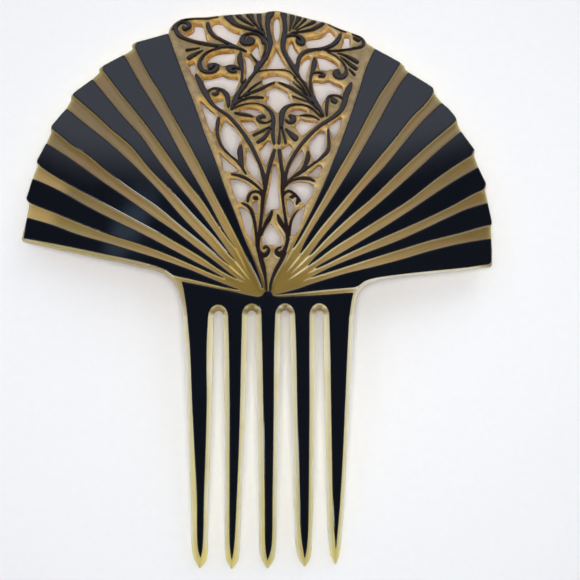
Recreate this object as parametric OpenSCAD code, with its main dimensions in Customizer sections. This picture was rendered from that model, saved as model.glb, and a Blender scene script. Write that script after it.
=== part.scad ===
// Tall hair comb of two laminated layers: black over translucent amber.
// The black layer is carved through, so that the amber shows as the grooves of
// a pleated fan, as the ground of a pierced scroll panel and as the bevelled
// edges of five tines. The whole comb is bent to a shallow bowl and lies on its
// hollow side: +X to the right, +Y towards the fan, -Y towards the tips of the
// tines, +Z up. The tables give the plan on squared paper, x to the right and
// y down, in squares.

/* [Comb] */
// Side of one square of the plan grid
square_mm = 0.341; // [0.3:0.001:0.4]
// Radius of the bowl that the comb is bent to, at its outer face
bowl_r = 300; // [260:5:400]
// Thickness of the black layer
black_t = 1.2; // [0.8:0.1:1.6]
// Thickness of the amber layer
amber_t = 3; // [2.4:0.1:3.6]
// Glue line between the two layers
glue_t = 0.04; // [0.02:0.01:0.1]

/* [Carving] */
// Width of the bevel along the tines
bevel_w = 1.4; // [1:0.1:1.5]
// Depth of the bevel along the tines
bevel_d = 1.6; // [1:0.1:2]
// Clearance between neighbouring black pieces
piece_gap = 0.12; // [0.08:0.01:0.3]
// Steps between two points of a curve in the tables
curve_steps = 3; // [2:1:5]

/* [Hidden] */

pole = [260.28, 292];     // grid point above the bowl's centre
sight = [290, 290];       // grid point that the drawing is squared up on
ease = 400;               // raised points draw in towards it by height / ease
lean = 0.95;              // turn that stands the comb upright on the grid, degrees
rim_r = 96.05;            // plan radius that the rim and the tine tips reach
rim_d = 1.5;              // depth under the outer face of the rim's upper edge
tine_d = 2.9;             // the same for the bevelled edges of the tines
arch_w = 4.9;             // half width of a gap between the tines at its closed end, squares
seat = [1.26, -0.51];     // moves the middle of the comb's plan onto the origin
total_t = black_t + amber_t;
inner_r = bowl_r - total_t;
centre_z = -sqrt(inner_r * inner_r - rim_r * rim_r); // the hollow side's rim lies at z = 0
amber_r = bowl_r - black_t - glue_t;                 // top face of the amber layer

function top_z(r) = centre_z + sqrt(bowl_r * bowl_r - r * r);

// A grid point as a point of the plan, in mm from the pole. d: depth under the outer face
function plan(p, d = 0) =
  let (r = norm([p[0] - pole[0], p[1] - pole[1]]) * square_mm,
       k = 1 - (top_z(r) - d) / ease,
       x = (sight[0] + (p[0] - sight[0]) * k - pole[0]) * square_mm,
       y = (pole[1] - sight[1] - (p[1] - sight[1]) * k) * square_mm)
  [x * cos(lean) - y * sin(lean), x * sin(lean) + y * cos(lean)];

function at(t, i) = t[min(max(i, 0), len(t) - 1)];
function round_at(t, i) = t[(i + len(t)) % len(t)];
function spline(a, b, c, d, u) =
  0.5 * (2 * b + (c - a) * u + (2 * a - 5 * b + 4 * c - d) * u * u
         + (3 * b - a - 3 * c + d) * u * u * u);

// Smooth open line and smooth closed line through the points of a table
function line(t, steps = curve_steps) =
  concat([for (i = [0:len(t) - 2], j = [0:steps - 1])
            spline(at(t, i - 1), at(t, i), at(t, i + 1), at(t, i + 2), j / steps)],
         [t[len(t) - 1]]);
function ring(t) =
  [for (i = [0:len(t) - 1], j = [0:curve_steps - 1])
     spline(round_at(t, i - 1), round_at(t, i), round_at(t, i + 1), round_at(t, i + 2), j / curve_steps)];

// ---- outline of the comb, clockwise from the left end of the crest -------------
crest = [
  [168.4, 34], [169.5, 29.5], [173, 25], [176.5, 22], [181, 19.7], [187, 18.3],
  [196, 17.6], [207, 17.2], [219, 16], [230, 15], [240, 14.4], [250, 13.6],
  [263, 13.2], [270, 11.6], [276.5, 11.2], [283, 12.3], [290, 14], [300, 16.5],
  [310, 19.2], [318, 21.3], [326, 23], [333, 26], [341, 29.4], [349, 32.2],
  [356, 34.6], [361.5, 37], [365, 40.5], [367, 44], [371, 46.3], [375, 49]];
right_rim = [
  [400.4, 62.7], [404, 66.3], [405, 69.6], [408.4, 72.5], [431, 86.5], [433.8, 90],
  [434.4, 94.3], [441.4, 102.9], [449, 109.3], [455, 116.5], [456.8, 120.5],
  [457.2, 124.2], [460.6, 131.4], [474.6, 149.8], [473.8, 155.5], [477.8, 167],
  [486.2, 183.8], [485, 191], [487.5, 202.7], [491.8, 222], [490.7, 227.5],
  [491.2, 238.6], [492, 250], [491.8, 264.5], [490.5, 267.4]];
right_shoulder = [
  [475, 268.6], [455, 270.7], [440, 272.2], [415, 274.7], [390, 277.4], [380, 279],
  [372, 281.7], [365, 285.3], [360.3, 289.5], [357.5, 294.5], [355.5, 301],
  [354, 309]];
left_shoulder = [
  [182.3, 308], [181, 300], [179, 292.3], [175.7, 285.5],
  [171, 279.6], [165, 275], [158, 271.6], [150, 269.3], [140, 267.3], [130, 265],
  [120, 262.7], [100, 258.7], [80, 254.4], [60, 250], [45, 246.7], [30, 243.4],
  [23, 241.3]];
left_rim = [
  [22, 239], [27.3, 217.3], [29.8, 204.5], [26.4, 199.8], [27, 196.5], [33.2, 178.3],
  [38, 166.3], [36.8, 162.5], [37.5, 159.5], [46.8, 143.2], [51.8, 132.7],
  [51, 128.5], [52, 125.2], [66.8, 108.6], [71.2, 100.6], [71.6, 96], [74, 93],
  [92.8, 79.5], [99.8, 72.6], [99.3, 69.3], [101.6, 67], [124.6, 55], [133, 49.8],
  [132, 46], [133.4, 43.8], [136.5, 42.4]];

// ---- tines: left and right edge at each y, and the black strip on each ------------
// columns: y, left edge, right edge
tines = [
  [[317, 183, 213.7], [352.7, 185, 213.2], [400, 187.2, 212.2], [450, 189, 210.5], [497, 190.5, 208.6],
   [540, 191.4, 208], [552, 192.6, 207.5], [558.5, 194.2, 206.7], [563, 196.3, 204.8], [568, 199.2, 200.2]],
  [[317, 223.4, 246.9], [352.7, 223.7, 246.9], [400, 224.4, 245.4], [450, 224.9, 243.5], [497, 225.2, 241.3],
   [540, 224.8, 240], [552, 225.3, 239.4], [558.5, 226.1, 238.4], [563, 228, 236.5], [568.8, 231.2, 232.2]],
  [[317, 256.4, 280.5], [352.7, 256.6, 280.2], [400, 257.5, 278.9], [450, 258.2, 277.7], [497, 259, 276.8],
   [540, 259.4, 276.3], [552, 260.2, 275.4], [558.5, 261.6, 274.1], [563, 263.6, 271.8], [568.2, 266.9, 267.9]],
  [[317, 290.1, 314.4], [352.7, 290.4, 314.9], [400, 291.6, 314.6], [450, 293.1, 314.1], [497, 294.4, 313.3],
   [538, 295.3, 312.3], [550, 296.6, 311.5], [557, 298.3, 310.4], [561.5, 300.7, 308.2], [566.6, 304, 305]],
  [[317, 324, 353.6], [352.7, 323.5, 351.8], [400, 324.8, 349.5], [450, 326, 347], [497, 326.9, 344.3],
   [530, 327.9, 342.3], [545, 329.2, 340.9], [554, 330.6, 339.5], [559, 332.2, 338], [564.6, 334.9, 335.9]]];
strips = [
  [[317, 187.4, 208.4], [352.7, 190.2, 206.9], [400, 192, 207.2], [450, 194.4, 206], [497, 196.8, 204.4],
   [530, 196.9, 203.8], [548, 197.8, 202.8], [557.5, 200.3, 200.9]],
  [[317, 228.1, 242.3], [352.7, 229, 241.4], [400, 229.6, 240.5], [450, 229.5, 239], [497, 229.4, 237],
   [535, 229.4, 235.2], [550, 230.2, 233.8], [560, 231.6, 232.1]],
  [[317, 261.4, 275.3], [352.7, 262.3, 274.2], [400, 263.1, 273.9], [450, 264, 273.4], [497, 264.6, 272.7],
   [535, 264.8, 272.4], [550, 265.6, 271], [560, 267.3, 267.9]],
  [[317, 295, 309.6], [352.7, 296.2, 309.5], [400, 297, 309.6], [450, 298, 309.3], [497, 299, 308.9],
   [530, 300.6, 308.3], [548, 302.8, 307], [558, 304.5, 305.1]],
  [[317, 328.9, 349.3], [352.7, 330, 347.4], [400, 330.7, 345.4], [450, 331.5, 343.2], [497, 332.3, 340.6],
   [525, 333.6, 338.4], [540, 334.9, 336.9], [549, 335.6, 336]]];
// arches between the tines, where the light comes through: middle x, top y
arches = [[218.6, 311], [251.8, 310.6], [285.3, 310.4], [319.2, 310.4]];
// arches in the black: middle x, top y, half width
black_arches = [[218.3, 304.6, 9.8], [251.8, 303.4, 9.7], [285.1, 303.2, 9.8], [319.3, 303.2, 9.7]];

// ---- black of the heading: upper edge from left to right, then the lower corners ---
heading_top = [
  [181.5, 281.4], [190, 283], [200, 285], [210, 287], [220, 289.1], [230, 291],
  [240, 293.2], [250, 295.4], [258, 296.7], [262.6, 295.2], [264.6, 291.6], [271, 291.6],
  [273.2, 295.8], [280, 296.8], [290, 296.3],
  [310, 295.6], [330, 294.2], [345, 293], [353.6, 292.5]];
heading_right = [[351.6, 301], [350.3, 310]];
heading_left = [[187.2, 314], [185.6, 302], [183.8, 290]];

// ---- pleats, from the panel outwards: upper edge from rim to point, then the
// lower edge back to the rim -----------------------------------------------------
left_pleats = [
  [[168.4, 34.3], [179, 64], [195, 106], [205, 134], [216, 162], [226, 190], [237, 218],
   [244, 237], [252, 255.5], [258, 271], [263.4, 288], [261.5, 288.5], [256.5, 277], [247, 258], [238, 239.5],
   [229, 222], [215, 195], [202, 169], [188, 142], [173, 115.7], [161, 94], [150, 77],
   [140, 58], [135.2, 48], [136.3, 43.2]],
  [[124.5, 55.4], [140, 83], [151, 100.5], [164, 121.5], [178, 148], [193, 174], [208, 200],
   [222, 227], [229, 238.6], [235.7, 248.7], [220, 228], [204, 203], [185, 179], [168, 155], [150, 130],
   [135, 111], [122, 95], [110, 79.5], [102.6, 69.6], [103.8, 66.3]],
  [[93, 79.8], [112, 103], [125, 118.5], [142, 137], [159, 161], [178, 185], [197, 208],
   [215, 232], [227, 249], [235.8, 261], [225, 250.3], [212, 235], [191, 213], [171, 191], [150, 169],
   [131, 146], [112, 130], [97, 116], [82, 103], [73.6, 96], [75.2, 92.8]],
  [[67, 109], [88, 126], [104, 138.5], [123, 155], [144, 175], [165, 197], [185, 220],
   [206, 241], [220, 256], [230.5, 266], [219, 257.5], [204, 245], [180, 226], [157, 207], [132, 190],
   [108, 172], [89, 156], [72, 145], [59, 134.3], [52.3, 129.2], [53.2, 125.3]],
  [[47, 143.6], [65, 155], [81, 166], [102, 181], [127, 198], [151, 215], [176, 232],
   [200, 250], [216, 262], [226.5, 270.5], [238, 279.5], [225, 273], [214, 266], [197, 254.5], [171, 239.5], [145, 225.5],
   [118, 211], [92, 197], [70, 185], [53, 175], [41.5, 167], [37.6, 162.4], [38.5, 159.6]],
  [[33.3, 178.9], [48, 185], [66, 194], [87, 206], [114, 220], [141, 233], [168, 247],
   [194, 261], [212, 270.5], [225, 278.5], [211, 273.3], [193, 265.3], [165, 253.5], [137, 243.3], [108, 234.3],
   [80, 223.5], [57, 214], [38, 206.5], [29.5, 202.5], [27, 199], [27.9, 196.2]],
  [[27.7, 217.7], [53, 225], [77, 234], [106, 242.5], [134, 251], [163, 260], [191, 270],
   [210, 278], [229, 285.7], [240, 289.8], [228, 288], [209, 283.6], [190, 279], [174, 275.4], [165, 269.7],
   [150, 264.3], [131, 259.5], [102, 253.5], [73, 247.5], [48, 242.7], [24, 238.6]]];
right_pleats = [
  [[374.6, 49.4], [366, 68], [360, 87], [352, 111], [342, 139], [331, 167], [319, 195],
   [306, 222], [297, 239], [292.7, 249.5], [299, 240.5], [309, 223], [324, 197], [338, 171], [353, 145],
   [367, 118], [379, 96], [390, 80], [400.2, 63.3]],
  [[408.2, 73], [399, 85], [389, 102], [377, 124], [362, 150], [346, 176], [330, 201],
   [314, 226], [304, 243.5], [299.8, 254.8], [307, 246], [319, 230], [338, 207], [357, 184.3], [376, 161.3],
   [395, 138.5], [411, 118.3], [425, 104.3], [432.5, 94], [433, 89.8], [430, 86.6]],
  [[441.2, 103.3], [433, 111], [419, 125], [403, 144], [384, 167], [363, 189.3], [344, 212],
   [324, 235], [312, 251], [308.5, 256.3], [314, 252], [327, 238], [349, 217.3], [372, 198], [393, 177.5], [415, 156.5],
   [433, 140.5], [449, 127], [456, 120.6], [454.2, 116.6], [448.6, 109.9]],
  [[460.4, 132], [441, 148], [422, 165], [400, 185], [377, 205], [354, 224], [331, 243.3],
   [316, 256], [307, 266.5], [318, 259.3], [334, 247.3], [360, 231], [385, 215.3], [410, 199.3], [434, 180.4],
   [454, 166.3], [471.4, 155.3], [473.8, 150]],
  [[477.6, 167.5], [461, 177], [440, 190], [415, 207], [390, 223.2], [364, 239.2], [339, 254],
   [321, 264], [314.3, 268.8], [322, 266.2], [340, 257.3], [367, 244.6], [395, 232.3], [422, 220.3], [449, 207.3],
   [471, 195.3], [483.6, 189.3], [485.4, 184]],
  [[487, 203.2], [476, 206.2], [464, 210.2], [452, 215.6], [440, 221.2], [426, 228], [398, 240.6],
   [370, 251.3], [342, 262.3], [324, 270.3], [310.3, 277.8], [325, 273.3], [344, 267.3], [372, 258.3], [401, 249.3], [430, 240.4], [459, 233.3],
   [483, 226.4], [490.3, 225.6], [491, 221.6]],
  [[490.6, 239], [487, 239.2], [462, 243.3], [433, 250], [404, 258.6], [375, 266.3], [346, 273.3],
   [327, 279], [310, 284.3], [300, 288], [285, 292.3], [273, 295], [290, 293.5], [310, 291.4], [330, 289.4], [345, 288.1],
   [356.5, 286.8], [365, 281.2], [377, 277.7], [407, 273.6], [437, 270.5], [466, 267.6], [489, 264.2], [491, 262]]];

// ---- openings of the panel, each a closed line -------------------------------
openings = [
  [[195, 27.5], [199.5, 27], [203.5, 28.5], [205, 34], [206, 39], [207.5, 42], [200, 41], [192, 39], [187, 37], [191, 35], [194.5, 32]],
  [[212, 28], [215, 25.5], [219, 24.5], [223, 25.5], [226, 28.5], [230, 31.8], [236, 34.5], [241, 36], [239.5, 39.5], [237.5, 42.5], [236.5, 45], [231, 43], [225, 40], [219, 36.5], [214, 32.5]],
  [[256.5, 46.5], [258.8, 50], [260.3, 56], [261, 61], [259.5, 63], [257.5, 61.5], [254, 57], [251.5, 53], [254, 50.5]],
  [[207, 62.8], [210, 59.5], [215, 56.5], [222, 54.8], [229, 54.3], [235.5, 54], [235.5, 58], [234, 62], [233.5, 65], [229, 65.3], [224, 66.3], [219.5, 64.8], [214, 63.2], [210, 62.8]],
  [[244.5, 57.5], [248, 57.5], [251, 60.5], [253.5, 65], [254, 70], [252.5, 74], [249.5, 78], [246.5, 80.3], [246.3, 75], [246.5, 69], [246, 63]],
  [[189.5, 67], [193, 65], [195.5, 64.5], [195, 68], [195.5, 72], [196.5, 75.5], [194, 76], [192, 74.5], [190.5, 71]],
  [[203.5, 81], [209, 80.5], [216, 79], [222.5, 77], [228, 79.5], [234, 80.5], [238.5, 80.5], [237.5, 86], [235.5, 92], [233, 96.5], [231, 97], [229.5, 94], [226, 90.3], [221, 88], [214, 87.3], [209.5, 88.7], [206.5, 90], [205, 86]],
  [[277, 18.8], [279, 20.5], [280, 26], [280, 32], [279.2, 38], [277.2, 42.5], [275.3, 40], [273.8, 34], [273.5, 28], [274.5, 22]],
  [[276.3, 51.5], [278, 55], [281, 60.5], [284, 65], [286, 68.5], [281, 69], [276, 69.2], [270, 69.3], [266.5, 69.5], [269, 66], [272, 61], [274.5, 55.5]],
  [[291.5, 43.5], [293, 46], [294.5, 50.5], [298, 55], [297, 58], [295.8, 62], [295.5, 65.5], [292.5, 61], [290, 57], [287.5, 53], [288, 50], [289.5, 46.5]],
  [[306, 42.5], [310, 40.8], [316, 40], [321, 39], [325, 36.5], [327.5, 33.5], [329.5, 32.5], [332.5, 35], [335, 39], [332.5, 42], [329, 44.8], [324, 47], [318, 48], [312, 48.5], [307, 48], [306, 45.5]],
  [[344, 38.8], [348.8, 39], [349.5, 43], [350, 49], [346, 49.5], [341.5, 49.8], [342.5, 46], [343.8, 42]],
  [[309.5, 59.5], [305.5, 61], [302, 64.5], [299.5, 69], [298.8, 73], [300.5, 77.5], [303.5, 81.5], [305.8, 83.5], [306, 80], [307, 74.5], [308.2, 70], [309.7, 65], [310.3, 61]],
  [[317.5, 58.7], [323, 59.3], [328.5, 61], [334, 64.5], [338, 68.5], [335, 69.5], [331, 70], [327.5, 71], [323, 70.7], [319.5, 69.5], [319, 66], [318, 62]],
  [[312.8, 83.3], [318, 83.5], [323, 84.3], [328.5, 82.8], [333, 85.5], [338, 87.5], [342, 89.8], [341.5, 93], [340, 95.3], [336, 94.2], [331, 94.2], [327.5, 95.8], [325, 99.5], [322.5, 104], [321, 107.3], [318, 102], [315.5, 96], [313.8, 89]],
  [[262.7, 81], [267, 79], [271, 77.5], [277, 77], [283, 78], [288, 80.5], [291.8, 83.5], [289, 84.8], [284, 83.2], [279, 81.8], [275.5, 81], [271, 82.5], [266, 84.5], [263.3, 85]],
  [[275, 88.5], [279, 90], [284, 92.5], [288, 95], [288.5, 98.5], [291, 103.5], [286.5, 105], [282.5, 107.5], [280, 110.5], [278.5, 113], [276.5, 112.8], [273.5, 109.5], [270, 106], [266, 103.5], [268.5, 100], [268.8, 97.5], [266, 95.5], [268, 92.5], [271.5, 90]],
  [[239.8, 112], [243, 110.8], [248, 110], [253, 110.1], [257.5, 111.2], [261, 113.2], [263.3, 114.8], [259, 116], [255, 116], [251, 114.2], [246, 112.9]],
  [[241, 123], [245, 122.8], [250, 122.5], [254, 123], [256, 126], [257.5, 128.5], [254.5, 130.5], [251, 132], [248, 132.3], [246, 130], [243.5, 126.5]],
  [[214, 104], [217.5, 102.8], [224, 101.5], [224, 105.5], [223.8, 109.8], [221.5, 109], [218, 106.8]],
  [[201, 104], [204, 105.5], [208, 109.5], [212, 113], [216.5, 117], [216.5, 120], [215.5, 126], [213.5, 131], [212, 133.3], [210.5, 132], [208.5, 127], [206, 119], [203.5, 111.5]],
  [[225.3, 122], [230, 125.5], [235, 129.5], [239, 135], [241, 140], [239, 144], [237.3, 149], [237, 154], [238, 160], [234, 157.5], [229, 153], [225, 148.5], [222, 143], [221, 137], [221.5, 130], [223.5, 125]],
  [[220.5, 154.5], [224, 158], [229, 163], [234, 167], [239, 170.5], [236, 172.3], [229, 172], [225, 171], [223, 168], [222.5, 164], [221, 159]],
  [[246.5, 151], [249.5, 150.3], [252.5, 156], [256, 163], [259, 170], [261, 178], [262, 184.5], [258.5, 181], [253.5, 176.5], [249, 171.5], [246.3, 166], [246.5, 158]],
  [[268.5, 142], [270.5, 144], [272.5, 147], [271.5, 151], [270, 156], [268, 161], [266, 165.5], [264, 164], [261.5, 158], [259, 152], [262, 149.5], [265, 146]],
  [[288.5, 145.5], [290.5, 147], [292.5, 149.3], [290, 153.5], [288, 158.5], [286.3, 163.5], [284.5, 160], [282.7, 154], [281.7, 150.5], [284.8, 148.5]],
  [[301, 152.3], [303, 153.5], [302.5, 159], [300, 164.5], [296, 170], [291.5, 175.5], [288, 178.7], [287.7, 176], [289.3, 170.5], [292.3, 164.5], [296, 158.3]],
  [[323.5, 132.5], [325.3, 135], [325.5, 142], [325, 148], [322, 154.5], [318, 159], [315, 162], [313.3, 160.5], [312, 156], [310, 151], [308.5, 145.5], [311.5, 141.5], [316, 136.5], [320, 133.5]],
  [[329.5, 126.5], [334, 123.5], [338, 120.5], [341, 119.5], [341.3, 121.5], [340, 127], [338, 132], [335.5, 137], [334, 140.5], [333, 139.5], [331.5, 135], [330.2, 131]],
  [[300.5, 121], [306, 122.5], [312, 123.2], [317.5, 123.7], [313, 127.3], [308.5, 131], [305, 134], [302, 136], [299.5, 133.5], [297, 130], [295.5, 127.5], [297.5, 124.5]],
  [[290, 113.2], [294.5, 111.2], [300.5, 111.3], [307, 112.9], [302, 114.6], [295, 115.3]],
  [[320, 166.3], [321.8, 168.5], [319.5, 173], [318, 177], [313, 176.8], [308.5, 175.5], [313, 171.5], [317, 168]],
  [[274, 166], [276, 166.5], [277.3, 172], [278, 185], [278.8, 198], [280, 208], [277, 210], [272.5, 209], [269.5, 211.5], [266, 215], [264.8, 213.5], [266, 206], [268.5, 195], [270.8, 183], [272.3, 172]],
  [[230.3, 180.3], [236, 180.3], [242, 182], [248, 185], [252.5, 188.8], [249, 191.5], [246.5, 195.5], [245, 200.5], [240.5, 202], [237, 200.5], [234.5, 194.5], [232, 187.5]],
  [[253, 203.5], [256, 202.5], [258.5, 203], [258, 207], [257.5, 212], [256.8, 215], [254.5, 211], [252.8, 206.5]],
  [[239.5, 208.5], [244, 209], [248.5, 212.5], [251, 217], [252.3, 223], [252, 229], [253, 235], [254.8, 242], [252, 240.5], [249.5, 237], [246.5, 233.5], [244, 225], [241.5, 215.5]],
  [[269.5, 224.3], [271.5, 224.8], [273.5, 227], [277, 232], [280.5, 238], [282, 243], [281.5, 245.5], [276, 246.3], [270, 245.3], [264, 244], [262.5, 242], [263, 237], [265.5, 231], [268, 226.5]],
  [[287.5, 188], [292, 184.8], [298, 183], [305, 183.2], [311, 185], [314.3, 188], [312.5, 194], [309, 200.5], [305, 205.3], [302.5, 203.5], [300.5, 199.5], [297, 195], [293, 191.5]],
  [[287, 200.7], [290.5, 200.5], [294.5, 206.5], [293, 210.5], [290.5, 215], [289, 216.5], [288, 212], [287.3, 206]],
  [[305, 206.5], [304.5, 211], [303, 217], [301, 222], [299, 228], [296, 234], [293, 236.5], [291, 235], [291.5, 228], [293, 221], [296, 215], [300, 210.5]]];

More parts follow.
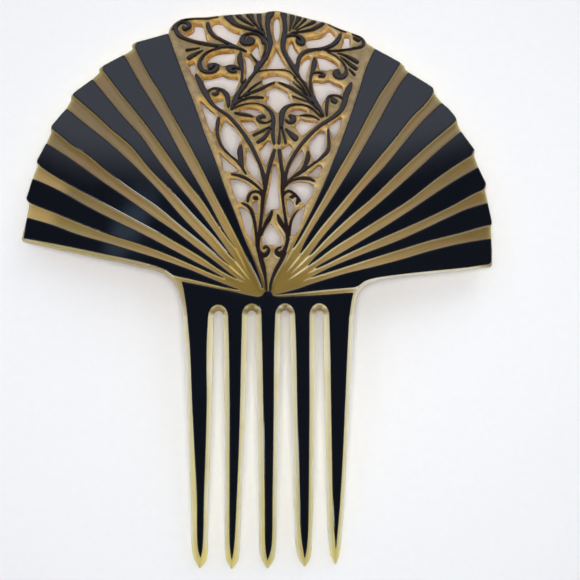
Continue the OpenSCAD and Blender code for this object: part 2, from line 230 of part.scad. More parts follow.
// ---- black scrolls: middle line of each stroke from end to end ------------------
// columns of each point: x, y, half width
strokes = [
  // left top edge, corner volute and long leaf
  [[171.8, 30.3, 0.6], [175.3, 25.2, 1], [180.3, 21.6, 1], [186.3, 19.8, 0.9], [196, 19.1, 0.8], [206, 19, 0.8], [213, 18.1, 0.8], [219, 17.2, 0.4]],
  [[176.5, 29, 1.2], [178.3, 24.8, 1.5], [182.5, 22.6, 1.6], [187.3, 23.4, 2], [189.6, 26.2, 2.3], [187.5, 29.3, 2.3], [184.4, 29.6, 1.8], [183.8, 27.4, 1.3]],
  [[173.8, 25.8, 0.8], [175.7, 30, 1.8], [179, 35.5, 2.2], [185, 39, 1.8], [192, 41.5, 1.6], [200, 43.5, 1.7], [209, 45, 1.8], [219, 46.3, 1.9], [229, 47, 1.8], [238, 48.5, 1.6], [246, 52, 1.3], [252, 57, 1.3], [257.5, 63, 1.5]],
  [[229, 47.8, 0.8], [220, 48.4, 1.1], [212, 50.6, 1.3], [206, 53.8, 1.5], [201.8, 58.3, 1.7], [199.6, 63.5, 1.9], [200.6, 68.5, 2.2], [204, 71.6, 2.1], [209, 72.5, 2.1], [214, 71.6, 2.3], [217.2, 68.8, 2.3], [216.8, 65.8, 2], [212.5, 65.2, 2], [208.6, 66.4, 2]],
  [[209.5, 68.3, 2], [213.5, 68.5, 2.3]],
  // left small ball and upright leaf
  [[226, 67.6, 1.2], [229.3, 66.8, 1.8], [234, 66.6, 1.6], [238.8, 69, 1.5]],
  [[228, 69.2, 2], [231, 71.1, 2.6], [235.3, 71.9, 2.1]],
  [[230.5, 69, 1.9], [234.5, 69.4, 1.9]],
  [[241, 52.8, 1], [240, 57, 2.3], [240.4, 62, 2.7], [242, 68, 1.7], [242.3, 75, 1], [241.7, 82, 1.4]],
  [[208, 24.3, 1.6], [208.5, 28, 2], [211, 33, 2], [215, 37, 1.8], [221, 40.3, 1.7], [228, 43.5, 1.7], [236, 47, 1.5]],
  // left fluted bars
  [[204, 47.9, 0.6], [197, 49, 1.3], [190.5, 50.3, 1.7], [186.6, 50.8, 1.7]],
  [[203.5, 50.3, 0.6], [197, 53.8, 1.7], [191.5, 56.9, 2.5], [188.6, 58.4, 2.5]],
  // left long stem and its volute
  [[195.6, 74, 0.7], [198.7, 80, 2], [201.6, 86, 2.7], [205, 93, 2.6], [209.4, 100, 2.2], [213.5, 105.5, 1.7], [220, 110.5, 1.5], [227, 115, 1.6], [233, 121, 1.7], [239, 128, 1.7], [245, 136, 1.8], [250.5, 145, 1.9], [255, 154, 1.9], [259, 163, 1.9], [262.5, 173, 2], [264.5, 182, 1.8], [265.5, 190, 1.4]],
  [[228.5, 107, 1], [228.3, 102, 2], [227, 96, 2.3], [223.5, 91.5, 1.8], [218, 88.8, 1.3], [212.5, 89, 1.1], [208.5, 92, 1], [207.3, 96.5, 0.6]],
  [[217.7, 91, 1], [217.3, 94, 1.7], [214.5, 94.8, 1.9], [212.3, 94, 1]],
  // left tall leaf and plumes
  [[271.5, 8, 4.4], [270, 14, 4], [268.2, 19, 2.5], [267.6, 25, 2], [268, 31, 2.1], [269.8, 38, 2.3], [270.5, 44, 2.2], [268.8, 50, 2.5], [265.5, 57, 3], [261, 63.5, 3], [256, 69.5, 3.2], [250, 77, 3], [245.5, 84, 2.8], [241, 91, 3], [237, 97, 3], [234, 103, 2.2], [231.5, 109, 1]],
  [[224.5, 10, 4.6], [228.3, 16, 4.2], [231.2, 20.5, 3.2], [235.5, 24.6, 2.5], [242, 27.2, 2], [252, 29.8, 2], [259, 32.5, 2], [264, 38, 2], [266.5, 44, 2], [266.5, 51, 2.2], [264, 57, 2.2]],
  [[235.5, 9, 3.6], [238.3, 14.8, 3.2], [241.3, 18.6, 2.1], [245.3, 21.7, 1.7], [250, 24.3, 1.2], [256, 27.8, 1], [262, 33, 1]],
  [[248.5, 8, 4.2], [249.6, 14.3, 3.8], [251.2, 17.8, 2.8], [253, 20.8, 1.9], [255.2, 24.3, 1.3], [259, 28.5, 1.1], [263, 34, 1]],
  [[259, 8, 2.5], [259.1, 14.5, 2.3], [259.3, 20, 1.8], [260.6, 25.5, 1.4], [262.6, 30, 1], [264.8, 34.5, 0.9]],
  [[244.8, 41, 3.9], [250.8, 41.3, 3.9]],
  [[263, 43, 1.4], [261.3, 38, 1.6], [257, 34.7, 1.6], [251, 34, 1.6], [245, 35.3, 1.8], [241.8, 38.8, 2], [242.5, 43, 2], [247, 44.8, 2], [252, 44, 1.8], [254.3, 41, 1.5], [252.5, 38, 1.2], [248.5, 37.8, 1.2], [246.7, 40.3, 1.2], [249, 41.5, 0.9]],
  // right tall leaf, volute and plumes
  [[283.3, 8, 3.6], [283.7, 14, 3.3], [284.2, 19, 2.3], [284.8, 25, 2], [285, 31, 2], [284, 37.5, 2.5], [283, 44, 2.4], [283.5, 50.5, 2.3], [287, 58, 2.2], [291, 65, 2.2], [296, 72, 2.5], [301, 79, 2.3], [305.5, 86, 2.2], [309.5, 93, 2.3], [313.5, 100, 2.8], [317.5, 106, 2.4], [321, 112, 1.8], [323.5, 117, 0.8]],
  [[299.6, 41.8, 3], [302, 42.4, 3]],
  [[286, 37, 1.4], [290, 35.8, 1.7], [296, 35.9, 1.9], [301.5, 38.4, 2.2], [303.7, 42, 2.3], [302.3, 44.6, 1.9], [299, 44.3, 1.7], [297, 42, 1.5], [296.8, 39.7, 1]],
  [[326.5, 19.5, 1.8], [322.8, 23.8, 2], [318, 27, 2.2], [312, 29.8, 1.9], [304.5, 31.5, 1.4], [297, 32.6, 1.2], [289.5, 34.2, 1.1]],
  [[318, 15.5, 3], [314.6, 20.8, 2.4], [311, 23.5, 2], [307, 25.6, 1.3], [301.5, 28.1, 0.8], [296.5, 30.7, 0.6], [292, 32.8, 0.5]],
  [[308, 13, 2.6], [305.7, 18.8, 2], [302.8, 22.3, 1.2], [299, 26, 0.9], [294.5, 30, 0.7]],
  [[300.5, 11, 3.4], [299, 17.2, 2.9], [297.7, 20.5, 1.9], [295.5, 24.2, 1.2], [292.7, 28.8, 0.8]],
  [[292.8, 9, 2.8], [292.4, 15.5, 2.5], [291.8, 20, 1.8], [291, 25, 1.1], [289.8, 30.5, 0.7]],
  // right big leaf and scroll
  [[340.5, 34.5, 0.8], [339, 38.5, 2], [335.5, 43, 2.5], [329.5, 46.7, 2.2], [322, 49, 1.8], [314, 50, 1.7], [307, 51.5, 2], [301.5, 55, 2.2], [298.3, 60.5, 2], [297.3, 67, 1.8], [298, 73, 1.2]],
  [[364, 42.5, 1], [363, 46, 1.4], [358, 48, 1.5], [351, 49.2, 1.3], [343, 50.5, 1.3], [334, 51.3, 1.3], [325, 50.5, 1.2]],
  [[327, 52.3, 0.8], [335, 56, 0.9], [341, 61, 1], [345, 66.5, 1.1], [346.2, 71.5, 1.4], [345, 76, 2], [341, 78.1, 2.1], [336.3, 77, 2.2], [334.5, 73.6, 2.1], [336.5, 71.5, 1.8], [339.3, 71.4, 1.4]],
  [[338, 74.6, 2.5], [341.3, 74.8, 2.3]],
  // right small ball, upright leaf and fluted bars
  [[311.5, 74.4, 1], [315, 73, 1.1], [320, 73, 1.4], [324, 75.3, 1.7], [322.6, 77, 1.5], [319, 76.6, 1.3]],
  [[314.6, 58.6, 1], [314.5, 62.5, 2.3], [313.7, 67.3, 2.3], [312, 73, 1.5], [310.5, 80, 1], [310.5, 87, 1.3], [312, 94, 1.5]],
  [[337, 53.5, 0.5], [344, 55.4, 1.2], [351, 58.8, 2], [357.2, 62.4, 2.3]],
  [[339, 56, 0.5], [345, 60.5, 1.3], [350.8, 65.3, 2.1], [356, 68.8, 2.2]],
  [[348.5, 69, 0.8], [352, 72.5, 1.3], [355, 75.6, 1.2]],
  // right top edge and corner ball
  [[327, 24.3, 0.4], [333, 27.2, 0.9], [340, 30.4, 0.9], [348, 33, 0.6], [355, 35.5, 0.9], [360.5, 38, 1.4], [363.5, 41, 1.4], [363.5, 45, 1.3]],
  [[353, 37.7, 1.1], [355.5, 39.5, 1.7], [358.5, 40.8, 1.7], [360, 39.5, 0.9]],
  // right long stem and its volute
  [[351.2, 83.5, 0.8], [349.6, 87, 2.1], [347.7, 91, 2.8], [345.8, 96, 2.7], [344.3, 103, 2.4], [341.3, 109.6, 2.2], [336.4, 115, 2], [329.4, 120, 1.9], [322, 124.5, 1.8], [315.1, 130, 1.7], [309.3, 135.7, 1.7], [303, 142.7, 1.7], [297.2, 150.5, 1.7], [292, 158.8, 1.6], [288, 167, 1.4], [286, 176, 1.5], [284.5, 184, 1.6], [283, 190, 1.2]],
  [[333.5, 100.2, 2.7], [335.3, 102, 2.5]],
  [[326.8, 116, 0.8], [326.6, 109, 1.4], [327, 102.5, 1.4], [329, 97, 1.2], [333, 95.6, 1], [338.5, 96.5, 1.1], [342.5, 99, 1.2]],
  [[331, 97.8, 1], [331.8, 100.5, 1.7], [334.5, 102.2, 1.8], [337, 101.5, 1.2]],
  // middle arc, left chevron and feathers
  [[253, 76, 0.8], [258, 72, 0.7], [265, 70.5, 0.6], [276, 70.1, 0.5], [285, 70.6, 0.6], [291, 73, 0.8], [297, 78.5, 0.8]],
  [[275, 82.8, 0.8], [267, 86, 1.6], [259, 90, 1.7], [251, 93, 1.6], [245, 96, 1.2]],
  [[263.5, 98, 1.2], [257, 97.7, 1.5], [250, 97.9, 1.5], [244, 99.7, 1.4], [238, 102.3, 1.4], [233, 106, 1]],
  [[262, 81.5, 0.7], [256.5, 85, 1.1], [251, 89, 1.1], [245.5, 94, 1], [240.5, 98.5, 0.8]],
  // left moustache scroll and its fan of bars
  [[231, 110, 0.8], [237, 107, 1], [245, 104.5, 0.9], [254, 103.5, 0.6], [262, 105.3, 0.9], [268, 109, 1.6], [272, 114, 1.9], [273.5, 120, 1.8], [273, 128, 1.6], [273, 136, 1.5], [273.8, 143.5, 1.6]],
  [[235, 113.4, 1.2], [241, 114.4, 1.7], [247, 115.5, 1.7], [252.5, 116.8, 1.2]],
  [[271, 120.5, 1], [267.5, 122.8, 0.9], [263, 123, 1.3], [259.3, 121.3, 1.8], [258.2, 119, 2], [260.2, 116.9, 2.2], [263.5, 116.6, 1.9], [265.3, 117.8, 1]],
  [[271.5, 127, 1], [265, 129.8, 1.6], [259, 132.7, 1.6], [253.5, 135.5, 1.5]],
  [[270, 129, 0.8], [267.5, 134, 1.6], [264.5, 138, 2], [260.5, 140.8, 1.9], [257.5, 142.6, 1.5]],
  // right chevron and feathers
  [[278.5, 82.8, 0.8], [284, 85, 1.6], [291, 88.2, 1.8], [298, 92.5, 1.9], [305, 97, 2], [311, 101.5, 1.6]],
  [[291.5, 96, 0.7], [297, 98.3, 0.9], [304, 100.7, 0.9], [310.5, 104, 1], [316.5, 109, 1]],
  [[291, 80.5, 0.6], [297, 86, 1], [303, 91, 1.2], [309, 96.5, 1.1]],
  [[293, 77, 0.5], [299, 83, 0.9], [304.5, 89.5, 0.9], [310, 96, 0.9]],
  // right moustache scroll and its bar
  [[322, 118, 0.8], [316, 112.5, 1.1], [310.5, 108, 1.2], [304, 105.5, 1.1], [296.5, 104.8, 1.2], [289.5, 106, 1.7], [284.5, 109.3, 2.5], [282.3, 114, 2.6], [281.5, 120, 2.2], [281, 127, 1.5], [280, 135, 1.3], [279, 143, 1.5]],
  [[282, 127, 1], [283.5, 134, 1.2], [285.5, 141, 1.4], [286, 144, 1.4]],
  [[294.5, 116.3, 1], [295, 120.5, 1.3], [292.5, 122.8, 1.6], [288, 122.6, 1.6], [285.7, 120, 0.9]],
  [[289.5, 116.2, 1.6], [292.3, 117.4, 2.4], [293, 119.8, 2.5]],
  [[299.5, 116, 0.7], [304, 115.7, 1.1], [309, 116, 1.2], [314, 117.1, 1], [319.7, 120.4, 0.7]],
  [[285.5, 129, 0.9], [289.5, 133, 2.2], [292.8, 136.2, 3], [295.3, 138.3, 3.4]],
  // long middle stems
  [[274.5, 150.5, 1.4], [272.5, 157, 1.8], [270.5, 164, 1.8], [268.5, 172, 1.7], [267, 180, 1.5], [265.5, 188, 1.5], [263.5, 196, 1.8], [262.5, 205, 1.6], [261.8, 214, 1.4], [260.8, 223, 1.4], [259.5, 232, 1.5], [258.5, 240, 1.6], [258.3, 247, 1.3]],
  [[279.3, 150.5, 1.5], [280.2, 158, 1.6], [281.3, 166, 1.6], [282.8, 175, 1.7], [282.8, 184, 1.7], [282.3, 192, 1.3], [283, 201, 1.1], [284.3, 211, 1.1], [285.8, 221, 1.3], [287, 231, 1.6], [287.8, 240, 1.7]],
  // twigs
  [[231.5, 174.5, 1], [239, 175.8, 1.5], [246, 178.5, 1.5], [252.5, 182.7, 1.4], [258.5, 187.7, 1.1], [263, 192.5, 0.8]],
  [[315, 181.7, 0.8], [310.5, 179.4, 1.7], [305, 178.4, 1.9], [298.5, 179, 1.6], [292.5, 180.7, 1], [287.5, 184.5, 0.8], [283.5, 189, 0.8]],
  // leaves beside the stems
  [[219, 118, 1.2], [218, 123, 1.9], [217.3, 130, 1.5], [218, 137, 1.2], [220.5, 144, 1.1], [225, 150.5, 1.1], [231, 155.8, 1], [237, 161.5, 1], [242, 167.5, 1], [246, 174, 0.8]],
  [[241, 146, 1.2], [240.3, 151, 2.6], [240.5, 157, 2.7], [241.5, 163, 2], [243, 169, 0.8]],
  [[219, 153, 0.6], [227, 160.3, 0.6], [234, 166, 0.7], [239.5, 170.3, 0.5]],
  [[328, 130, 1], [328.5, 137, 1.4], [328.8, 145, 1.5], [327.5, 151.5, 1.7], [323, 156.5, 1.4], [317, 161.3, 1.1], [310.5, 166, 1.1], [304, 170.3, 1.6], [298, 174, 1.8], [292, 178, 1], [287, 182.5, 0.7]],
  [[307.8, 152, 1], [308, 156.5, 2.1], [306.8, 161.5, 2.1], [304.5, 166.5, 1.6], [301.5, 170.5, 1]],
  [[199.5, 101.5, 0.8], [205, 106, 0.6], [210.5, 110.5, 0.5]],
  // lower volutes
  [[247.8, 201.3, 1.2], [248.6, 197, 1.4], [251, 193.3, 1.2], [255.3, 191.8, 1.3], [260, 193, 1.4], [262.8, 196.5, 1.5]],
  [[254.9, 198.2, 2.1], [256.3, 198.8, 2.3]],
  [[282.6, 198, 1.1], [284, 194, 1.3], [288.5, 191.4, 1.4], [294, 193.3, 1.5], [298, 197.5, 1.8], [300, 200.5, 1.4]],
  [[296.4, 204.3, 0.9], [297.7, 201.5, 1.7], [298.6, 199, 1.8]],
  [[289.8, 198.8, 2.1], [291.8, 197.4, 1.8], [294.3, 195.5, 1.2]],
  // lower leaves, inverted V and loops
  [[241.5, 203.3, 0.7], [246.5, 205.3, 1.3], [250.5, 209.5, 1.6], [253, 215.5, 1.5], [254.8, 223, 1.3], [255.8, 231, 1.2], [256.8, 239, 1.4], [257.3, 246, 1.6]],
  [[305.5, 206, 1], [300, 210, 1.2], [295.3, 214.7, 1.7], [291.8, 221, 1.6], [290, 228, 1.5], [288.8, 235, 1.6]],
  [[272.1, 211.3, 1], [270.8, 215, 1.8], [268.7, 219.5, 2.3], [266.3, 224, 2.2], [264, 229, 1.8], [261.6, 234.5, 1.5]],
  [[277.8, 214.8, 0.7], [278.5, 217.5, 1.4], [279.8, 221, 2.1], [282.2, 225, 2.1], [284.8, 229.3, 1.5], [286.8, 233.5, 1.3]],
  [[258, 240, 1.6], [257.8, 246, 1.5], [258.8, 251, 1.8], [261.5, 254.8, 2.3], [264.8, 255.2, 2.3], [267.9, 252.8, 1.7], [269, 249.5, 1.1], [267.3, 247, 0.9], [264.9, 246.9, 1.1], [264, 248.4, 1.2]],
  [[288, 238, 1.5], [286.5, 245, 1.5], [284.1, 251, 1.9], [280.7, 254.3, 2.7], [277.5, 253.7, 2.2], [276, 251, 1.3], [277.4, 248.6, 1], [281, 247.3, 0.7]],
  [[279.2, 254.4, 2.6], [280.8, 254, 2.6]],
  // stems to the point of the fan
  [[259.5, 252, 1.8], [261, 259, 2.1], [263.3, 267, 2.1], [265.2, 276, 1.4], [266.2, 285, 0.9], [266.5, 293, 0.7]],
  [[285, 253, 1.5], [281, 261, 1.7], [277, 268, 1.7], [273.3, 276, 1.3], [270.8, 284, 1], [270, 293, 1]]];

// ---- light lines between the scrolls: middle line of each from end to end ---------
// columns of each point: x, y, half width
cuts = [
  // between the plumes of the left tall leaf
  [[234.4, 17.3, 1.4], [237.2, 20.2, 1.6], [241, 22.7, 1.1], [246, 24.8, 0.7], [252, 26.6, 0.5], [258, 29.3, 0.3]],
  [[244.2, 16.3, 1.5], [247.2, 19, 1.4], [250.6, 22.4, 0.9], [254.2, 25.8, 0.6], [258.8, 29.6, 0.35]],
  [[255.3, 15.9, 1.2], [256, 20, 1.3], [257.6, 24.3, 0.9], [260.4, 28.6, 0.5], [263.5, 32.6, 0.3]],
  [[263.4, 16, 1.4], [263.4, 20, 1.4], [264.1, 25, 1], [265.5, 30, 0.5], [266.6, 33.5, 0.3]],
  [[249, 31.7, 0.3], [256, 32.4, 0.45], [262, 35.7, 0.5], [266, 41, 0.6], [267.6, 47, 0.6], [266.3, 53, 0.45], [263.8, 58, 0.3]],
  [[248, 37.6, 0.3], [246.4, 38.7, 0.4], [246, 40.4, 0.45], [247, 42.2, 0.3]],
  [[250, 36.8, 0.4], [254.3, 38.6, 0.6], [257.4, 42, 0.7], [259, 46, 0.7]],
  // between the plumes of the right tall leaf
  [[288.6, 17.4, 1], [288.9, 21, 0.9], [288.8, 25.5, 0.7], [288.4, 31, 0.45]],
  [[295.7, 18, 0.9], [294.8, 21, 0.7], [293, 25.3, 0.5], [290.9, 30.3, 0.35]],
  [[302.6, 19.4, 0.9], [300.1, 22.2, 0.8], [296.8, 25.8, 0.6], [292.8, 30.3, 0.35]],
  [[307.6, 21.2, 1.5], [304.6, 24.3, 1.2], [300, 27.3, 0.7], [295, 30.4, 0.4]],
  [[318, 23.8, 1.1], [313.5, 26.1, 1.1], [308, 28.2, 0.9], [302, 29.8, 0.5], [295, 31.7, 0.35]],
  [[296.2, 38, 0.35], [298.8, 39.5, 0.45], [300.3, 41.6, 0.35]],
  // bars beside the long leaves
  [[184, 42, 0.9], [193, 44.3, 0.8], [202, 45.7, 0.6], [210, 46.9, 0.35]],
  [[184.5, 53, 0.9], [193.5, 50.8, 0.7], [201, 48.5, 0.5], [207, 47.7, 0.3]],
  [[207.5, 50, 0.35], [202.5, 53.7, 0.6], [198.5, 58.5, 0.6], [195.5, 62, 0.6]],
  [[331, 52.6, 0.3], [339, 53, 0.45], [347, 54.7, 0.8], [356, 57, 1.1]],
  [[335, 53.6, 0.3], [343, 57.3, 0.6], [350, 61.3, 0.8], [358, 65.6, 1]],
  [[331, 52.8, 0.3], [338, 56.6, 0.6], [343.5, 61.3, 0.7], [348, 67, 1]],
  // round the left stem
  [[256.5, 77.5, 1.1], [252, 82.8, 0.9], [247, 88, 0.7], [242.3, 93.2, 0.5], [239, 97.5, 0.3]],
  [[247.8, 79.5, 0.6], [244.5, 83.2, 0.6], [242, 86.7, 0.5], [240.6, 89.5, 0.3]],
  [[262.5, 83, 1.3], [258, 86.8, 1], [254, 89.6, 0.7], [250.5, 91.9, 0.3]],
  [[257, 94.6, 0.9], [250.5, 95.6, 0.6], [245, 97.6, 0.5], [241, 99.5, 0.3]],
  [[252, 101.4, 0.8], [245.5, 102.1, 0.7], [240.3, 103.7, 0.5], [236.3, 105.6, 0.3]],
  // round the right stem
  [[288.5, 68.5, 0.7], [294, 74.5, 0.7], [299, 80, 0.7], [303.5, 86, 0.6], [307.5, 92, 0.5], [310.8, 98, 0.35]],
  [[293, 84.5, 1.4], [297, 88.3, 1], [301, 91.5, 0.6], [305, 94.8, 0.3]],
  [[294, 94.3, 0.9], [299, 95.9, 0.7], [303, 97.6, 0.5], [307, 100, 0.3]],
  [[303, 102.2, 0.9], [308, 103.6, 0.8], [312.3, 106.3, 0.6], [316, 109.7, 0.35]],
  [[307.3, 84.5, 0.6], [308.8, 88.8, 0.5], [310.3, 92.5, 0.3]],
  // between the bars under the moustache scrolls
  [[260.5, 136.8, 1.3], [265, 132.4, 0.9], [269.5, 128.3, 0.4]],
  [[270.3, 141, 1], [270.6, 134.5, 0.6], [271.1, 129, 0.3]],
  [[281.8, 142.5, 1], [281.3, 135, 0.7], [280.6, 128, 0.35]],
  [[288, 141.5, 1.2], [285.8, 135, 0.8], [283.5, 129.3, 0.35]],
  // curls of the scroll ends and small balls
  [[202, 61.5, 0.4], [203.1, 65, 0.5], [205.2, 68.2, 0.5], [208.2, 69.9, 0.45], [211.2, 69.7, 0.4], [213.8, 67.9, 0.4], [215.2, 66.3, 0.3]],
  [[231.8, 70.6, 0.3], [233.4, 69.5, 0.4], [236, 69.7, 0.5], [238.6, 71.6, 0.6], [240, 75, 0.6]],
  [[342.6, 68.5, 0.8], [342.9, 71.6, 0.7], [341.3, 74, 0.6], [338.4, 74.8, 0.4]],
  [[315, 74.8, 0.4], [318.5, 74.4, 0.45], [320.7, 75.2, 0.3]],
  [[334, 98.4, 0.3], [336.8, 98.1, 0.45], [339.3, 99.9, 0.5], [340.2, 103, 0.6]],
  [[330.2, 98, 0.7], [330, 101.5, 0.7], [330.3, 105, 0.8]]];

// ---- shapes on the grid, drawn in the plan --------------------------------------
function plans(t, d = 0) = [for (p = t) plan(p, d)];
function col(t, i) = [for (row = t) [row[i], row[0]]];
function back(t) = [for (i = [len(t) - 1:-1:0]) t[i]];
function arch(cx, top, w, drop) =
  [for (a = [15:30:165]) [cx + w * cos(a), top + w * drop - w * drop * sin(a)]];

// Right edge down to the tip and left edge up again of a tine, or of its black strip
function tine_edge(t) = concat(line(col(t, 2)), back(line(col(t, 1))));

comb_outline = concat(
  plans(concat(crest, right_rim, right_shoulder), rim_d),
  plans(concat(
    tine_edge(tines[4]), arch(arches[3][0], arches[3][1], arch_w, 1.2),
    tine_edge(tines[3]), arch(arches[2][0], arches[2][1], arch_w, 1.2),
    tine_edge(tines[2]), arch(arches[1][0], arches[1][1], arch_w, 1.2),
    tine_edge(tines[1]), arch(arches[0][0], arches[0][1], arch_w, 1.2),
    tine_edge(tines[0])), tine_d),
  plans(concat(left_shoulder, left_rim), rim_d));

heading_outline = concat(heading_top, heading_right,
  tine_edge(strips[4]), arch(black_arches[3][0], black_arches[3][1], black_arches[3][2], 1.25),
  tine_edge(strips[3]), arch(black_arches[2][0], black_arches[2][1], black_arches[2][2], 1.25),
  tine_edge(strips[2]), arch(black_arches[1][0], black_arches[1][1], black_arches[1][2], 1.25),
  tine_edge(strips[1]), arch(black_arches[0][0], black_arches[0][1], black_arches[0][2], 1.25),
  tine_edge(strips[0]), heading_left);

// Both sides of a stroke, with rounded ends
function side(t, i) =
  let (a = at(t, i - 1), b = at(t, i + 1), d = [b[0] - a[0], b[1] - a[1]])
  [-d[1], d[0]] / max(norm(d), 0.001);
function stroke(t) =
  let (q = line([for (p = t) [p[0], p[1], p[2]]], 2), n = len(q) - 1, s0 = side(q, 0), s1 = side(q, n),
       f0 = [-s0[1], s0[0]], f1 = [s1[1], -s1[0]])
  concat(
    [for (i = [0:n]) [q[i][0], q[i][1]] + side(q, i) * max(q[i][2], 0.3)],
    [for (a = [45, 0, -45]) [q[n][0], q[n][1]] + max(q[n][2], 0.3) * (s1 * sin(a) + f1 * cos(a))],
    [for (i = [n:-1:0]) [q[i][0], q[i][1]] - side(q, i) * max(q[i][2], 0.3)],
    [for (a = [45, 0, -45]) [q[0][0], q[0][1]] + max(q[0][2], 0.3) * (-s0 * sin(a) + f0 * cos(a))]);

module comb_plan() {
  offset(delta = 0.01) difference() {
    polygon(comb_outline);
    for (t = openings) polygon(plans(ring(t)));
  }
}
module heading_plan() { polygon(plans(heading_outline)); }
module pleat_plan(t) {
  offset(delta = -0.01) difference() {
    polygon(plans(t));
    offset(delta = piece_gap) heading_plan();
  }
}
module scroll_plan() {
  offset(delta = -0.01) difference() {
    intersection() {
      union() for (t = strokes) polygon(plans(stroke(t)));
      polygon(concat(plans(crest), [[70, -60], [-70, -60]]));
      comb_plan();
    }
    for (t = cuts) polygon(plans(stroke(t)));
    offset(delta = piece_gap) heading_plan();
    for (t = concat(left_pleats, right_pleats)) offset(delta = piece_gap) polygon(plans(t));
  }
}

// ---- the bowl -----------------------------------------------------------------
// A layer of the bowl between two radii, cut to a plan
module layer(outer, inner) {
  intersection() {
    translate([0, 0, -5]) linear_extrude(40) children();
    translate([0, 0, centre_z]) difference() {
      rotate([90, 0, 0]) sphere(r = outer, $fn = 256);
      rotate([90, 0, 0]) sphere(r = inner, $fn = 256);
    }
  }
}

// Bevel along one edge of a tine, from grid point a down to b. The cutter turns
// about the level line through the bowl's centre that is square to the edge, so
// that it keeps its depth along the bend. side: -1 left edge, 1 right edge
module edge_bevel(a, b, side) {
  pa = plan(a, tine_d);
  pb = plan(b, tine_d);
  turn = atan2(pb[0] - pa[0], pa[1] - pb[1]);
  d = pa[0] * cos(turn) + pa[1] * sin(turn);
  slope = bevel_d / bevel_w;
  edge_r = sqrt(amber_r * amber_r - d * d) - bevel_d;
  translate([0, 0, centre_z]) rotate([0, 0, turn]) rotate([90, 0, 90])
    rotate_extrude(start = 94, angle = 17, $fn = 256)
      polygon([[edge_r + slope * (bevel_w + 0.6), d - side * (bevel_w + 0.6)],
               [edge_r - slope * 1.3, d + side * 1.3],
               [edge_r + 4, d + side * 1.3],
               [edge_r + 4, d - side * (bevel_w + 0.6)]]);
}
// Bevel round the closed end of a gap between two tines
module arch_bevel(a) {
  c = plan([a[0], a[1] + 5.8], tine_d);
  translate([0, 0, centre_z]) rotate([0, asin(norm(c) / amber_r), atan2(c[1], c[0])])
    translate([0, 0, amber_r - bevel_d - 0.3])
      cylinder(h = bevel_d + 1.3, r1 = arch_w * square_mm - 0.3 * bevel_w / bevel_d,
               r2 = arch_w * square_mm + bevel_w * (1 + 1 / bevel_d), $fn = 48);
}

module black() { color([0.05, 0.05, 0.06]) translate([seat[0], seat[1], 0]) children(); }
module amber() { color([0.78, 0.6, 0.3]) translate([seat[0], seat[1], 0]) children(); }

// ---- the pieces -----------------------------------------------------------------
module amber_body() {
  amber() difference() {
    layer(amber_r, inner_r) comb_plan();
    for (t = tines) {
      edge_bevel([t[1][1], t[1][0]], [t[5][1], t[5][0]], -1);
      edge_bevel([t[1][2], t[1][0]], [t[5][2], t[5][0]], 1);
    }
    for (a = arches) arch_bevel(a);
  }
}
module black_heading() { black() layer(bowl_r, bowl_r - black_t) offset(delta = -0.01) heading_plan(); }
module scrollwork() { black() layer(bowl_r, bowl_r - black_t) scroll_plan(); }
module left_pleat(i) { black() layer(bowl_r, bowl_r - black_t) pleat_plan(left_pleats[i - 1]); }
module right_pleat(i) { black() layer(bowl_r, bowl_r - black_t) pleat_plan(right_pleats[i - 1]); }

amber_body();
black_heading();
scrollwork();
for (i = [1:7]) left_pleat(i);
for (i = [1:7]) right_pleat(i);
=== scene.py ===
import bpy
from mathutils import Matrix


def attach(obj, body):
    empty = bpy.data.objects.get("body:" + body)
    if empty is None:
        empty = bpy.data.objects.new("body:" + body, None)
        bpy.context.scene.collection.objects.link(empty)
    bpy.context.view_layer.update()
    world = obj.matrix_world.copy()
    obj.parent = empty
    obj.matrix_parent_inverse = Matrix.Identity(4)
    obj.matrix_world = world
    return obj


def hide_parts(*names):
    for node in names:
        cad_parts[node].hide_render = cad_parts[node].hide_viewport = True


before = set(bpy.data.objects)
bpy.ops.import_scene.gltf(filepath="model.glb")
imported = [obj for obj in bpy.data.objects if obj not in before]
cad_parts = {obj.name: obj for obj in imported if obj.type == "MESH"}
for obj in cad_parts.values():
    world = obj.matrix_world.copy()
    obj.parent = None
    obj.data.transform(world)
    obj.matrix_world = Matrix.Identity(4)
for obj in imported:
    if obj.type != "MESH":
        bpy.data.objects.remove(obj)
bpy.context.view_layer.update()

import math

import bpy
import numpy as np
from mathutils import Matrix, Vector
from mathutils.geometry import delaunay_2d_cdt
from mathutils.kdtree import KDTree

# =====================================================================================
# The comb on squared paper, x to the right and y down, in squares of 0.341 mm
# =====================================================================================

# ---- outline of the comb, clockwise from the left end of the crest -------------
crest = [
  [168.4, 34], [169.5, 29.5], [173, 25], [176.5, 22], [181, 19.7], [187, 18.3],
  [196, 17.6], [207, 17.2], [219, 16], [230, 15], [240, 14.4], [250, 13.6],
  [263, 13.2], [270, 11.6], [276.5, 11.2], [283, 12.3], [290, 14], [300, 16.5],
  [310, 19.2], [318, 21.3], [326, 23], [333, 26], [341, 29.4], [349, 32.2],
  [356, 34.6], [361.5, 37], [365, 40.5], [367, 44], [371, 46.3], [375, 49]]
right_rim = [
  [400.4, 62.7], [404, 66.3], [405, 69.6], [408.4, 72.5], [431, 86.5], [433.8, 90],
  [434.4, 94.3], [441.4, 102.9], [449, 109.3], [455, 116.5], [456.8, 120.5],
  [457.2, 124.2], [460.6, 131.4], [474.6, 149.8], [473.8, 155.5], [477.8, 167],
  [486.2, 183.8], [485, 191], [487.5, 202.7], [491.8, 222], [490.7, 227.5],
  [491.2, 238.6], [492, 250], [491.8, 264.5], [490.5, 267.4]]
right_shoulder = [
  [475, 268.6], [455, 270.7], [440, 272.2], [415, 274.7], [390, 277.4], [380, 279],
  [372, 281.7], [365, 285.3], [360.3, 289.5], [357.5, 294.5], [355.5, 301],
  [354, 309]]
